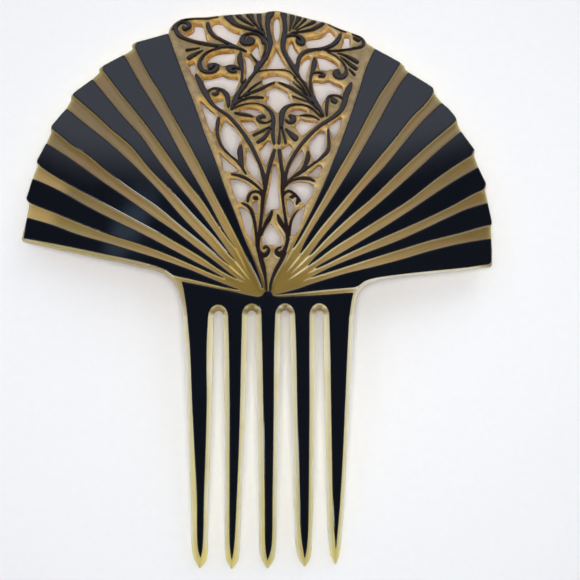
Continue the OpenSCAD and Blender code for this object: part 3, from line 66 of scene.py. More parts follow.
left_shoulder = [
  [182.3, 308], [181, 300], [179, 292.3], [175.7, 285.5],
  [171, 279.6], [165, 275], [158, 271.6], [150, 269.3], [140, 267.3], [130, 265],
  [120, 262.7], [100, 258.7], [80, 254.4], [60, 250], [45, 246.7], [30, 243.4],
  [23, 241.3]]
left_rim = [
  [22, 239], [27.3, 217.3], [29.8, 204.5], [26.4, 199.8], [27, 196.5], [33.2, 178.3],
  [38, 166.3], [36.8, 162.5], [37.5, 159.5], [46.8, 143.2], [51.8, 132.7],
  [51, 128.5], [52, 125.2], [66.8, 108.6], [71.2, 100.6], [71.6, 96], [74, 93],
  [92.8, 79.5], [99.8, 72.6], [99.3, 69.3], [101.6, 67], [124.6, 55], [133, 49.8],
  [132, 46], [133.4, 43.8], [136.5, 42.4]]

# ---- tines: left and right edge at each y, and the black strip on each ------------
# columns: y, left edge, right edge
tines = [
  [[317, 183, 213.7], [352.7, 185, 213.2], [400, 187.2, 212.2], [450, 189, 210.5], [497, 190.5, 208.6],
   [540, 191.4, 208], [552, 192.6, 207.5], [558.5, 194.2, 206.7], [563, 196.3, 204.8], [568, 199.2, 200.2]],
  [[317, 223.4, 246.9], [352.7, 223.7, 246.9], [400, 224.4, 245.4], [450, 224.9, 243.5], [497, 225.2, 241.3],
   [540, 224.8, 240], [552, 225.3, 239.4], [558.5, 226.1, 238.4], [563, 228, 236.5], [568.8, 231.2, 232.2]],
  [[317, 256.4, 280.5], [352.7, 256.6, 280.2], [400, 257.5, 278.9], [450, 258.2, 277.7], [497, 259, 276.8],
   [540, 259.4, 276.3], [552, 260.2, 275.4], [558.5, 261.6, 274.1], [563, 263.6, 271.8], [568.2, 266.9, 267.9]],
  [[317, 290.1, 314.4], [352.7, 290.4, 314.9], [400, 291.6, 314.6], [450, 293.1, 314.1], [497, 294.4, 313.3],
   [538, 295.3, 312.3], [550, 296.6, 311.5], [557, 298.3, 310.4], [561.5, 300.7, 308.2], [566.6, 304, 305]],
  [[317, 324, 353.6], [352.7, 323.5, 351.8], [400, 324.8, 349.5], [450, 326, 347], [497, 326.9, 344.3],
   [530, 327.9, 342.3], [545, 329.2, 340.9], [554, 330.6, 339.5], [559, 332.2, 338], [564.6, 334.9, 335.9]]]
strips = [
  [[317, 187.4, 208.4], [352.7, 190.2, 206.9], [400, 192, 207.2], [450, 194.4, 206], [497, 196.8, 204.4],
   [530, 196.9, 203.8], [548, 197.8, 202.8], [557.5, 200.3, 200.9]],
  [[317, 228.1, 242.3], [352.7, 229, 241.4], [400, 229.6, 240.5], [450, 229.5, 239], [497, 229.4, 237],
   [535, 229.4, 235.2], [550, 230.2, 233.8], [560, 231.6, 232.1]],
  [[317, 261.4, 275.3], [352.7, 262.3, 274.2], [400, 263.1, 273.9], [450, 264, 273.4], [497, 264.6, 272.7],
   [535, 264.8, 272.4], [550, 265.6, 271], [560, 267.3, 267.9]],
  [[317, 295, 309.6], [352.7, 296.2, 309.5], [400, 297, 309.6], [450, 298, 309.3], [497, 299, 308.9],
   [530, 300.6, 308.3], [548, 302.8, 307], [558, 304.5, 305.1]],
  [[317, 328.9, 349.3], [352.7, 330, 347.4], [400, 330.7, 345.4], [450, 331.5, 343.2], [497, 332.3, 340.6],
   [525, 333.6, 338.4], [540, 334.9, 336.9], [549, 335.6, 336]]]
# arches between the tines, where the light comes through: middle x, top y
arches = [[218.6, 311], [251.8, 310.6], [285.3, 310.4], [319.2, 310.4]]
# arches in the black: middle x, top y, half width
black_arches = [[218.3, 304.6, 9.8], [251.8, 303.4, 9.7], [285.1, 303.2, 9.8], [319.3, 303.2, 9.7]]

# ---- black of the heading: upper edge from left to right, then the lower corners ---
heading_top = [
  [181.5, 281.4], [190, 283], [200, 285], [210, 287], [220, 289.1], [230, 291],
  [240, 293.2], [250, 295.4], [258, 296.7], [262.6, 295.2], [264.6, 291.6], [271, 291.6],
  [273.2, 295.8], [280, 296.8], [290, 296.3],
  [310, 295.6], [330, 294.2], [345, 293], [353.6, 292.5]]
heading_right = [[351.6, 301], [350.3, 310]]
heading_left = [[187.2, 314], [185.6, 302], [183.8, 290]]

# ---- pleats, from the panel outwards: upper edge from rim to point, then the
# lower edge back to the rim -----------------------------------------------------
left_pleats = [
  [[168.4, 34.3], [179, 64], [195, 106], [205, 134], [216, 162], [226, 190], [237, 218],
   [244, 237], [252, 255.5], [258, 271], [263.4, 288], [261.5, 288.5], [256.5, 277], [247, 258], [238, 239.5],
   [229, 222], [215, 195], [202, 169], [188, 142], [173, 115.7], [161, 94], [150, 77],
   [140, 58], [135.2, 48], [136.3, 43.2]],
  [[124.5, 55.4], [140, 83], [151, 100.5], [164, 121.5], [178, 148], [193, 174], [208, 200],
   [222, 227], [229, 238.6], [235.7, 248.7], [220, 228], [204, 203], [185, 179], [168, 155], [150, 130],
   [135, 111], [122, 95], [110, 79.5], [102.6, 69.6], [103.8, 66.3]],
  [[93, 79.8], [112, 103], [125, 118.5], [142, 137], [159, 161], [178, 185], [197, 208],
   [215, 232], [227, 249], [235.8, 261], [225, 250.3], [212, 235], [191, 213], [171, 191], [150, 169],
   [131, 146], [112, 130], [97, 116], [82, 103], [73.6, 96], [75.2, 92.8]],
  [[67, 109], [88, 126], [104, 138.5], [123, 155], [144, 175], [165, 197], [185, 220],
   [206, 241], [220, 256], [230.5, 266], [219, 257.5], [204, 245], [180, 226], [157, 207], [132, 190],
   [108, 172], [89, 156], [72, 145], [59, 134.3], [52.3, 129.2], [53.2, 125.3]],
  [[47, 143.6], [65, 155], [81, 166], [102, 181], [127, 198], [151, 215], [176, 232],
   [200, 250], [216, 262], [226.5, 270.5], [238, 279.5], [225, 273], [214, 266], [197, 254.5], [171, 239.5], [145, 225.5],
   [118, 211], [92, 197], [70, 185], [53, 175], [41.5, 167], [37.6, 162.4], [38.5, 159.6]],
  [[33.3, 178.9], [48, 185], [66, 194], [87, 206], [114, 220], [141, 233], [168, 247],
   [194, 261], [212, 270.5], [225, 278.5], [211, 273.3], [193, 265.3], [165, 253.5], [137, 243.3], [108, 234.3],
   [80, 223.5], [57, 214], [38, 206.5], [29.5, 202.5], [27, 199], [27.9, 196.2]],
  [[27.7, 217.7], [53, 225], [77, 234], [106, 242.5], [134, 251], [163, 260], [191, 270],
   [210, 278], [229, 285.7], [240, 289.8], [228, 288], [209, 283.6], [190, 279], [174, 275.4], [165, 269.7],
   [150, 264.3], [131, 259.5], [102, 253.5], [73, 247.5], [48, 242.7], [24, 238.6]]]
right_pleats = [
  [[374.6, 49.4], [366, 68], [360, 87], [352, 111], [342, 139], [331, 167], [319, 195],
   [306, 222], [297, 239], [292.7, 249.5], [299, 240.5], [309, 223], [324, 197], [338, 171], [353, 145],
   [367, 118], [379, 96], [390, 80], [400.2, 63.3]],
  [[408.2, 73], [399, 85], [389, 102], [377, 124], [362, 150], [346, 176], [330, 201],
   [314, 226], [304, 243.5], [299.8, 254.8], [307, 246], [319, 230], [338, 207], [357, 184.3], [376, 161.3],
   [395, 138.5], [411, 118.3], [425, 104.3], [432.5, 94], [433, 89.8], [430, 86.6]],
  [[441.2, 103.3], [433, 111], [419, 125], [403, 144], [384, 167], [363, 189.3], [344, 212],
   [324, 235], [312, 251], [308.5, 256.3], [314, 252], [327, 238], [349, 217.3], [372, 198], [393, 177.5], [415, 156.5],
   [433, 140.5], [449, 127], [456, 120.6], [454.2, 116.6], [448.6, 109.9]],
  [[460.4, 132], [441, 148], [422, 165], [400, 185], [377, 205], [354, 224], [331, 243.3],
   [316, 256], [307, 266.5], [318, 259.3], [334, 247.3], [360, 231], [385, 215.3], [410, 199.3], [434, 180.4],
   [454, 166.3], [471.4, 155.3], [473.8, 150]],
  [[477.6, 167.5], [461, 177], [440, 190], [415, 207], [390, 223.2], [364, 239.2], [339, 254],
   [321, 264], [314.3, 268.8], [322, 266.2], [340, 257.3], [367, 244.6], [395, 232.3], [422, 220.3], [449, 207.3],
   [471, 195.3], [483.6, 189.3], [485.4, 184]],
  [[487, 203.2], [476, 206.2], [464, 210.2], [452, 215.6], [440, 221.2], [426, 228], [398, 240.6],
   [370, 251.3], [342, 262.3], [324, 270.3], [310.3, 277.8], [325, 273.3], [344, 267.3], [372, 258.3], [401, 249.3], [430, 240.4], [459, 233.3],
   [483, 226.4], [490.3, 225.6], [491, 221.6]],
  [[490.6, 239], [487, 239.2], [462, 243.3], [433, 250], [404, 258.6], [375, 266.3], [346, 273.3],
   [327, 279], [310, 284.3], [300, 288], [285, 292.3], [273, 295], [290, 293.5], [310, 291.4], [330, 289.4], [345, 288.1],
   [356.5, 286.8], [365, 281.2], [377, 277.7], [407, 273.6], [437, 270.5], [466, 267.6], [489, 264.2], [491, 262]]]


# ---- openings of the panel, each a closed line -------------------------------
openings = [
  [[195, 27.5], [199.5, 27], [203.5, 28.5], [205, 34], [206, 39], [207.5, 42], [200, 41], [192, 39], [187, 37], [191, 35], [194.5, 32]],
  [[212, 28], [215, 25.5], [219, 24.5], [223, 25.5], [226, 28.5], [230, 31.8], [236, 34.5], [241, 36], [239.5, 39.5], [237.5, 42.5], [236.5, 45], [231, 43], [225, 40], [219, 36.5], [214, 32.5]],
  [[256.5, 46.5], [258.8, 50], [260.3, 56], [261, 61], [259.5, 63], [257.5, 61.5], [254, 57], [251.5, 53], [254, 50.5]],
  [[207, 62.8], [210, 59.5], [215, 56.5], [222, 54.8], [229, 54.3], [235.5, 54], [235.5, 58], [234, 62], [233.5, 65], [229, 65.3], [224, 66.3], [219.5, 64.8], [214, 63.2], [210, 62.8]],
  [[244.5, 57.5], [248, 57.5], [251, 60.5], [253.5, 65], [254, 70], [252.5, 74], [249.5, 78], [246.5, 80.3], [246.3, 75], [246.5, 69], [246, 63]],
  [[189.5, 67], [193, 65], [195.5, 64.5], [195, 68], [195.5, 72], [196.5, 75.5], [194, 76], [192, 74.5], [190.5, 71]],
  [[203.5, 81], [209, 80.5], [216, 79], [222.5, 77], [228, 79.5], [234, 80.5], [238.5, 80.5], [237.5, 86], [235.5, 92], [233, 96.5], [231, 97], [229.5, 94], [226, 90.3], [221, 88], [214, 87.3], [209.5, 88.7], [206.5, 90], [205, 86]],
  [[277, 18.8], [279, 20.5], [280, 26], [280, 32], [279.2, 38], [277.2, 42.5], [275.3, 40], [273.8, 34], [273.5, 28], [274.5, 22]],
  [[276.3, 51.5], [278, 55], [281, 60.5], [284, 65], [286, 68.5], [281, 69], [276, 69.2], [270, 69.3], [266.5, 69.5], [269, 66], [272, 61], [274.5, 55.5]],
  [[291.5, 43.5], [293, 46], [294.5, 50.5], [298, 55], [297, 58], [295.8, 62], [295.5, 65.5], [292.5, 61], [290, 57], [287.5, 53], [288, 50], [289.5, 46.5]],
  [[306, 42.5], [310, 40.8], [316, 40], [321, 39], [325, 36.5], [327.5, 33.5], [329.5, 32.5], [332.5, 35], [335, 39], [332.5, 42], [329, 44.8], [324, 47], [318, 48], [312, 48.5], [307, 48], [306, 45.5]],
  [[344, 38.8], [348.8, 39], [349.5, 43], [350, 49], [346, 49.5], [341.5, 49.8], [342.5, 46], [343.8, 42]],
  [[309.5, 59.5], [305.5, 61], [302, 64.5], [299.5, 69], [298.8, 73], [300.5, 77.5], [303.5, 81.5], [305.8, 83.5], [306, 80], [307, 74.5], [308.2, 70], [309.7, 65], [310.3, 61]],
  [[317.5, 58.7], [323, 59.3], [328.5, 61], [334, 64.5], [338, 68.5], [335, 69.5], [331, 70], [327.5, 71], [323, 70.7], [319.5, 69.5], [319, 66], [318, 62]],
  [[312.8, 83.3], [318, 83.5], [323, 84.3], [328.5, 82.8], [333, 85.5], [338, 87.5], [342, 89.8], [341.5, 93], [340, 95.3], [336, 94.2], [331, 94.2], [327.5, 95.8], [325, 99.5], [322.5, 104], [321, 107.3], [318, 102], [315.5, 96], [313.8, 89]],
  [[262.7, 81], [267, 79], [271, 77.5], [277, 77], [283, 78], [288, 80.5], [291.8, 83.5], [289, 84.8], [284, 83.2], [279, 81.8], [275.5, 81], [271, 82.5], [266, 84.5], [263.3, 85]],
  [[275, 88.5], [279, 90], [284, 92.5], [288, 95], [288.5, 98.5], [291, 103.5], [286.5, 105], [282.5, 107.5], [280, 110.5], [278.5, 113], [276.5, 112.8], [273.5, 109.5], [270, 106], [266, 103.5], [268.5, 100], [268.8, 97.5], [266, 95.5], [268, 92.5], [271.5, 90]],
  [[239.8, 112], [243, 110.8], [248, 110], [253, 110.1], [257.5, 111.2], [261, 113.2], [263.3, 114.8], [259, 116], [255, 116], [251, 114.2], [246, 112.9]],
  [[241, 123], [245, 122.8], [250, 122.5], [254, 123], [256, 126], [257.5, 128.5], [254.5, 130.5], [251, 132], [248, 132.3], [246, 130], [243.5, 126.5]],
  [[214, 104], [217.5, 102.8], [224, 101.5], [224, 105.5], [223.8, 109.8], [221.5, 109], [218, 106.8]],
  [[201, 104], [204, 105.5], [208, 109.5], [212, 113], [216.5, 117], [216.5, 120], [215.5, 126], [213.5, 131], [212, 133.3], [210.5, 132], [208.5, 127], [206, 119], [203.5, 111.5]],
  [[225.3, 122], [230, 125.5], [235, 129.5], [239, 135], [241, 140], [239, 144], [237.3, 149], [237, 154], [238, 160], [234, 157.5], [229, 153], [225, 148.5], [222, 143], [221, 137], [221.5, 130], [223.5, 125]],
  [[220.5, 154.5], [224, 158], [229, 163], [234, 167], [239, 170.5], [236, 172.3], [229, 172], [225, 171], [223, 168], [222.5, 164], [221, 159]],
  [[246.5, 151], [249.5, 150.3], [252.5, 156], [256, 163], [259, 170], [261, 178], [262, 184.5], [258.5, 181], [253.5, 176.5], [249, 171.5], [246.3, 166], [246.5, 158]],
  [[268.5, 142], [270.5, 144], [272.5, 147], [271.5, 151], [270, 156], [268, 161], [266, 165.5], [264, 164], [261.5, 158], [259, 152], [262, 149.5], [265, 146]],
  [[288.5, 145.5], [290.5, 147], [292.5, 149.3], [290, 153.5], [288, 158.5], [286.3, 163.5], [284.5, 160], [282.7, 154], [281.7, 150.5], [284.8, 148.5]],
  [[301, 152.3], [303, 153.5], [302.5, 159], [300, 164.5], [296, 170], [291.5, 175.5], [288, 178.7], [287.7, 176], [289.3, 170.5], [292.3, 164.5], [296, 158.3]],
  [[323.5, 132.5], [325.3, 135], [325.5, 142], [325, 148], [322, 154.5], [318, 159], [315, 162], [313.3, 160.5], [312, 156], [310, 151], [308.5, 145.5], [311.5, 141.5], [316, 136.5], [320, 133.5]],
  [[329.5, 126.5], [334, 123.5], [338, 120.5], [341, 119.5], [341.3, 121.5], [340, 127], [338, 132], [335.5, 137], [334, 140.5], [333, 139.5], [331.5, 135], [330.2, 131]],
  [[300.5, 121], [306, 122.5], [312, 123.2], [317.5, 123.7], [313, 127.3], [308.5, 131], [305, 134], [302, 136], [299.5, 133.5], [297, 130], [295.5, 127.5], [297.5, 124.5]],
  [[290, 113.2], [294.5, 111.2], [300.5, 111.3], [307, 112.9], [302, 114.6], [295, 115.3]],
  [[320, 166.3], [321.8, 168.5], [319.5, 173], [318, 177], [313, 176.8], [308.5, 175.5], [313, 171.5], [317, 168]],
  [[274, 166], [276, 166.5], [277.3, 172], [278, 185], [278.8, 198], [280, 208], [277, 210], [272.5, 209], [269.5, 211.5], [266, 215], [264.8, 213.5], [266, 206], [268.5, 195], [270.8, 183], [272.3, 172]],
  [[230.3, 180.3], [236, 180.3], [242, 182], [248, 185], [252.5, 188.8], [249, 191.5], [246.5, 195.5], [245, 200.5], [240.5, 202], [237, 200.5], [234.5, 194.5], [232, 187.5]],
  [[253, 203.5], [256, 202.5], [258.5, 203], [258, 207], [257.5, 212], [256.8, 215], [254.5, 211], [252.8, 206.5]],
  [[239.5, 208.5], [244, 209], [248.5, 212.5], [251, 217], [252.3, 223], [252, 229], [253, 235], [254.8, 242], [252, 240.5], [249.5, 237], [246.5, 233.5], [244, 225], [241.5, 215.5]],
  [[269.5, 224.3], [271.5, 224.8], [273.5, 227], [277, 232], [280.5, 238], [282, 243], [281.5, 245.5], [276, 246.3], [270, 245.3], [264, 244], [262.5, 242], [263, 237], [265.5, 231], [268, 226.5]],
  [[287.5, 188], [292, 184.8], [298, 183], [305, 183.2], [311, 185], [314.3, 188], [312.5, 194], [309, 200.5], [305, 205.3], [302.5, 203.5], [300.5, 199.5], [297, 195], [293, 191.5]],
  [[287, 200.7], [290.5, 200.5], [294.5, 206.5], [293, 210.5], [290.5, 215], [289, 216.5], [288, 212], [287.3, 206]],
  [[305, 206.5], [304.5, 211], [303, 217], [301, 222], [299, 228], [296, 234], [293, 236.5], [291, 235], [291.5, 228], [293, 221], [296, 215], [300, 210.5]]]

# ---- black scrolls: middle line of each stroke from end to end ------------------
# columns of each point: x, y, half width
strokes = [
  # left top edge, corner volute and long leaf
  [[171.8, 30.3, 0.6], [175.3, 25.2, 1], [180.3, 21.6, 1], [186.3, 19.8, 0.9], [196, 19.1, 0.8], [206, 19, 0.8], [213, 18.1, 0.8], [219, 17.2, 0.4]],
  [[176.5, 29, 1.2], [178.3, 24.8, 1.5], [182.5, 22.6, 1.6], [187.3, 23.4, 2], [189.6, 26.2, 2.3], [187.5, 29.3, 2.3], [184.4, 29.6, 1.8], [183.8, 27.4, 1.3]],
  [[173.8, 25.8, 0.8], [175.7, 30, 1.8], [179, 35.5, 2.2], [185, 39, 1.8], [192, 41.5, 1.6], [200, 43.5, 1.7], [209, 45, 1.8], [219, 46.3, 1.9], [229, 47, 1.8], [238, 48.5, 1.6], [246, 52, 1.3], [252, 57, 1.3], [257.5, 63, 1.5]],
  [[229, 47.8, 0.8], [220, 48.4, 1.1], [212, 50.6, 1.3], [206, 53.8, 1.5], [201.8, 58.3, 1.7], [199.6, 63.5, 1.9], [200.6, 68.5, 2.2], [204, 71.6, 2.1], [209, 72.5, 2.1], [214, 71.6, 2.3], [217.2, 68.8, 2.3], [216.8, 65.8, 2], [212.5, 65.2, 2], [208.6, 66.4, 2]],
  [[209.5, 68.3, 2], [213.5, 68.5, 2.3]],
  # left small ball and upright leaf
  [[226, 67.6, 1.2], [229.3, 66.8, 1.8], [234, 66.6, 1.6], [238.8, 69, 1.5]],
  [[228, 69.2, 2], [231, 71.1, 2.6], [235.3, 71.9, 2.1]],
  [[230.5, 69, 1.9], [234.5, 69.4, 1.9]],
  [[241, 52.8, 1], [240, 57, 2.3], [240.4, 62, 2.7], [242, 68, 1.7], [242.3, 75, 1], [241.7, 82, 1.4]],
  [[208, 24.3, 1.6], [208.5, 28, 2], [211, 33, 2], [215, 37, 1.8], [221, 40.3, 1.7], [228, 43.5, 1.7], [236, 47, 1.5]],
  # left fluted bars
  [[204, 47.9, 0.6], [197, 49, 1.3], [190.5, 50.3, 1.7], [186.6, 50.8, 1.7]],
  [[203.5, 50.3, 0.6], [197, 53.8, 1.7], [191.5, 56.9, 2.5], [188.6, 58.4, 2.5]],
  # left long stem and its volute
  [[195.6, 74, 0.7], [198.7, 80, 2], [201.6, 86, 2.7], [205, 93, 2.6], [209.4, 100, 2.2], [213.5, 105.5, 1.7], [220, 110.5, 1.5], [227, 115, 1.6], [233, 121, 1.7], [239, 128, 1.7], [245, 136, 1.8], [250.5, 145, 1.9], [255, 154, 1.9], [259, 163, 1.9], [262.5, 173, 2], [264.5, 182, 1.8], [265.5, 190, 1.4]],
  [[228.5, 107, 1], [228.3, 102, 2], [227, 96, 2.3], [223.5, 91.5, 1.8], [218, 88.8, 1.3], [212.5, 89, 1.1], [208.5, 92, 1], [207.3, 96.5, 0.6]],
  [[217.7, 91, 1], [217.3, 94, 1.7], [214.5, 94.8, 1.9], [212.3, 94, 1]],
  # left tall leaf and plumes
  [[271.5, 8, 4.4], [270, 14, 4], [268.2, 19, 2.5], [267.6, 25, 2], [268, 31, 2.1], [269.8, 38, 2.3], [270.5, 44, 2.2], [268.8, 50, 2.5], [265.5, 57, 3], [261, 63.5, 3], [256, 69.5, 3.2], [250, 77, 3], [245.5, 84, 2.8], [241, 91, 3], [237, 97, 3], [234, 103, 2.2], [231.5, 109, 1]],
  [[224.5, 10, 4.6], [228.3, 16, 4.2], [231.2, 20.5, 3.2], [235.5, 24.6, 2.5], [242, 27.2, 2], [252, 29.8, 2], [259, 32.5, 2], [264, 38, 2], [266.5, 44, 2], [266.5, 51, 2.2], [264, 57, 2.2]],
  [[235.5, 9, 3.6], [238.3, 14.8, 3.2], [241.3, 18.6, 2.1], [245.3, 21.7, 1.7], [250, 24.3, 1.2], [256, 27.8, 1], [262, 33, 1]],
  [[248.5, 8, 4.2], [249.6, 14.3, 3.8], [251.2, 17.8, 2.8], [253, 20.8, 1.9], [255.2, 24.3, 1.3], [259, 28.5, 1.1], [263, 34, 1]],
  [[259, 8, 2.5], [259.1, 14.5, 2.3], [259.3, 20, 1.8], [260.6, 25.5, 1.4], [262.6, 30, 1], [264.8, 34.5, 0.9]],
  [[244.8, 41, 3.9], [250.8, 41.3, 3.9]],
  [[263, 43, 1.4], [261.3, 38, 1.6], [257, 34.7, 1.6], [251, 34, 1.6], [245, 35.3, 1.8], [241.8, 38.8, 2], [242.5, 43, 2], [247, 44.8, 2], [252, 44, 1.8], [254.3, 41, 1.5], [252.5, 38, 1.2], [248.5, 37.8, 1.2], [246.7, 40.3, 1.2], [249, 41.5, 0.9]],
  # right tall leaf, volute and plumes
  [[283.3, 8, 3.6], [283.7, 14, 3.3], [284.2, 19, 2.3], [284.8, 25, 2], [285, 31, 2], [284, 37.5, 2.5], [283, 44, 2.4], [283.5, 50.5, 2.3], [287, 58, 2.2], [291, 65, 2.2], [296, 72, 2.5], [301, 79, 2.3], [305.5, 86, 2.2], [309.5, 93, 2.3], [313.5, 100, 2.8], [317.5, 106, 2.4], [321, 112, 1.8], [323.5, 117, 0.8]],
  [[299.6, 41.8, 3], [302, 42.4, 3]],
  [[286, 37, 1.4], [290, 35.8, 1.7], [296, 35.9, 1.9], [301.5, 38.4, 2.2], [303.7, 42, 2.3], [302.3, 44.6, 1.9], [299, 44.3, 1.7], [297, 42, 1.5], [296.8, 39.7, 1]],
  [[326.5, 19.5, 1.8], [322.8, 23.8, 2], [318, 27, 2.2], [312, 29.8, 1.9], [304.5, 31.5, 1.4], [297, 32.6, 1.2], [289.5, 34.2, 1.1]],
  [[318, 15.5, 3], [314.6, 20.8, 2.4], [311, 23.5, 2], [307, 25.6, 1.3], [301.5, 28.1, 0.8], [296.5, 30.7, 0.6], [292, 32.8, 0.5]],
  [[308, 13, 2.6], [305.7, 18.8, 2], [302.8, 22.3, 1.2], [299, 26, 0.9], [294.5, 30, 0.7]],
  [[300.5, 11, 3.4], [299, 17.2, 2.9], [297.7, 20.5, 1.9], [295.5, 24.2, 1.2], [292.7, 28.8, 0.8]],
  [[292.8, 9, 2.8], [292.4, 15.5, 2.5], [291.8, 20, 1.8], [291, 25, 1.1], [289.8, 30.5, 0.7]],
  # right big leaf and scroll
  [[340.5, 34.5, 0.8], [339, 38.5, 2], [335.5, 43, 2.5], [329.5, 46.7, 2.2], [322, 49, 1.8], [314, 50, 1.7], [307, 51.5, 2], [301.5, 55, 2.2], [298.3, 60.5, 2], [297.3, 67, 1.8], [298, 73, 1.2]],
  [[364, 42.5, 1], [363, 46, 1.4], [358, 48, 1.5], [351, 49.2, 1.3], [343, 50.5, 1.3], [334, 51.3, 1.3], [325, 50.5, 1.2]],
  [[327, 52.3, 0.8], [335, 56, 0.9], [341, 61, 1], [345, 66.5, 1.1], [346.2, 71.5, 1.4], [345, 76, 2], [341, 78.1, 2.1], [336.3, 77, 2.2], [334.5, 73.6, 2.1], [336.5, 71.5, 1.8], [339.3, 71.4, 1.4]],
  [[338, 74.6, 2.5], [341.3, 74.8, 2.3]],
  # right small ball, upright leaf and fluted bars
  [[311.5, 74.4, 1], [315, 73, 1.1], [320, 73, 1.4], [324, 75.3, 1.7], [322.6, 77, 1.5], [319, 76.6, 1.3]],
  [[314.6, 58.6, 1], [314.5, 62.5, 2.3], [313.7, 67.3, 2.3], [312, 73, 1.5], [310.5, 80, 1], [310.5, 87, 1.3], [312, 94, 1.5]],
  [[337, 53.5, 0.5], [344, 55.4, 1.2], [351, 58.8, 2], [357.2, 62.4, 2.3]],
  [[339, 56, 0.5], [345, 60.5, 1.3], [350.8, 65.3, 2.1], [356, 68.8, 2.2]],
  [[348.5, 69, 0.8], [352, 72.5, 1.3], [355, 75.6, 1.2]],
  # right top edge and corner ball
  [[327, 24.3, 0.4], [333, 27.2, 0.9], [340, 30.4, 0.9], [348, 33, 0.6], [355, 35.5, 0.9], [360.5, 38, 1.4], [363.5, 41, 1.4], [363.5, 45, 1.3]],
  [[353, 37.7, 1.1], [355.5, 39.5, 1.7], [358.5, 40.8, 1.7], [360, 39.5, 0.9]],
  # right long stem and its volute
  [[351.2, 83.5, 0.8], [349.6, 87, 2.1], [347.7, 91, 2.8], [345.8, 96, 2.7], [344.3, 103, 2.4], [341.3, 109.6, 2.2], [336.4, 115, 2], [329.4, 120, 1.9], [322, 124.5, 1.8], [315.1, 130, 1.7], [309.3, 135.7, 1.7], [303, 142.7, 1.7], [297.2, 150.5, 1.7], [292, 158.8, 1.6], [288, 167, 1.4], [286, 176, 1.5], [284.5, 184, 1.6], [283, 190, 1.2]],
  [[333.5, 100.2, 2.7], [335.3, 102, 2.5]],
  [[326.8, 116, 0.8], [326.6, 109, 1.4], [327, 102.5, 1.4], [329, 97, 1.2], [333, 95.6, 1], [338.5, 96.5, 1.1], [342.5, 99, 1.2]],
  [[331, 97.8, 1], [331.8, 100.5, 1.7], [334.5, 102.2, 1.8], [337, 101.5, 1.2]],
  # middle arc, left chevron and feathers
  [[253, 76, 0.8], [258, 72, 0.7], [265, 70.5, 0.6], [276, 70.1, 0.5], [285, 70.6, 0.6], [291, 73, 0.8], [297, 78.5, 0.8]],
  [[275, 82.8, 0.8], [267, 86, 1.6], [259, 90, 1.7], [251, 93, 1.6], [245, 96, 1.2]],
  [[263.5, 98, 1.2], [257, 97.7, 1.5], [250, 97.9, 1.5], [244, 99.7, 1.4], [238, 102.3, 1.4], [233, 106, 1]],
  [[262, 81.5, 0.7], [256.5, 85, 1.1], [251, 89, 1.1], [245.5, 94, 1], [240.5, 98.5, 0.8]],
  # left moustache scroll and its fan of bars
  [[231, 110, 0.8], [237, 107, 1], [245, 104.5, 0.9], [254, 103.5, 0.6], [262, 105.3, 0.9], [268, 109, 1.6], [272, 114, 1.9], [273.5, 120, 1.8], [273, 128, 1.6], [273, 136, 1.5], [273.8, 143.5, 1.6]],
  [[235, 113.4, 1.2], [241, 114.4, 1.7], [247, 115.5, 1.7], [252.5, 116.8, 1.2]],
  [[271, 120.5, 1], [267.5, 122.8, 0.9], [263, 123, 1.3], [259.3, 121.3, 1.8], [258.2, 119, 2], [260.2, 116.9, 2.2], [263.5, 116.6, 1.9], [265.3, 117.8, 1]],
  [[271.5, 127, 1], [265, 129.8, 1.6], [259, 132.7, 1.6], [253.5, 135.5, 1.5]],
  [[270, 129, 0.8], [267.5, 134, 1.6], [264.5, 138, 2], [260.5, 140.8, 1.9], [257.5, 142.6, 1.5]],
  # right chevron and feathers
  [[278.5, 82.8, 0.8], [284, 85, 1.6], [291, 88.2, 1.8], [298, 92.5, 1.9], [305, 97, 2], [311, 101.5, 1.6]],
  [[291.5, 96, 0.7], [297, 98.3, 0.9], [304, 100.7, 0.9], [310.5, 104, 1], [316.5, 109, 1]],
  [[291, 80.5, 0.6], [297, 86, 1], [303, 91, 1.2], [309, 96.5, 1.1]],
  [[293, 77, 0.5], [299, 83, 0.9], [304.5, 89.5, 0.9], [310, 96, 0.9]],
  # right moustache scroll and its bar
  [[322, 118, 0.8], [316, 112.5, 1.1], [310.5, 108, 1.2], [304, 105.5, 1.1], [296.5, 104.8, 1.2], [289.5, 106, 1.7], [284.5, 109.3, 2.5], [282.3, 114, 2.6], [281.5, 120, 2.2], [281, 127, 1.5], [280, 135, 1.3], [279, 143, 1.5]],
  [[282, 127, 1], [283.5, 134, 1.2], [285.5, 141, 1.4], [286, 144, 1.4]],
  [[294.5, 116.3, 1], [295, 120.5, 1.3], [292.5, 122.8, 1.6], [288, 122.6, 1.6], [285.7, 120, 0.9]],
  [[289.5, 116.2, 1.6], [292.3, 117.4, 2.4], [293, 119.8, 2.5]],
  [[299.5, 116, 0.7], [304, 115.7, 1.1], [309, 116, 1.2], [314, 117.1, 1], [319.7, 120.4, 0.7]],
  [[285.5, 129, 0.9], [289.5, 133, 2.2], [292.8, 136.2, 3], [295.3, 138.3, 3.4]],
  # long middle stems
  [[274.5, 150.5, 1.4], [272.5, 157, 1.8], [270.5, 164, 1.8], [268.5, 172, 1.7], [267, 180, 1.5], [265.5, 188, 1.5], [263.5, 196, 1.8], [262.5, 205, 1.6], [261.8, 214, 1.4], [260.8, 223, 1.4], [259.5, 232, 1.5], [258.5, 240, 1.6], [258.3, 247, 1.3]],
  [[279.3, 150.5, 1.5], [280.2, 158, 1.6], [281.3, 166, 1.6], [282.8, 175, 1.7], [282.8, 184, 1.7], [282.3, 192, 1.3], [283, 201, 1.1], [284.3, 211, 1.1], [285.8, 221, 1.3], [287, 231, 1.6], [287.8, 240, 1.7]],
  # twigs
  [[231.5, 174.5, 1], [239, 175.8, 1.5], [246, 178.5, 1.5], [252.5, 182.7, 1.4], [258.5, 187.7, 1.1], [263, 192.5, 0.8]],
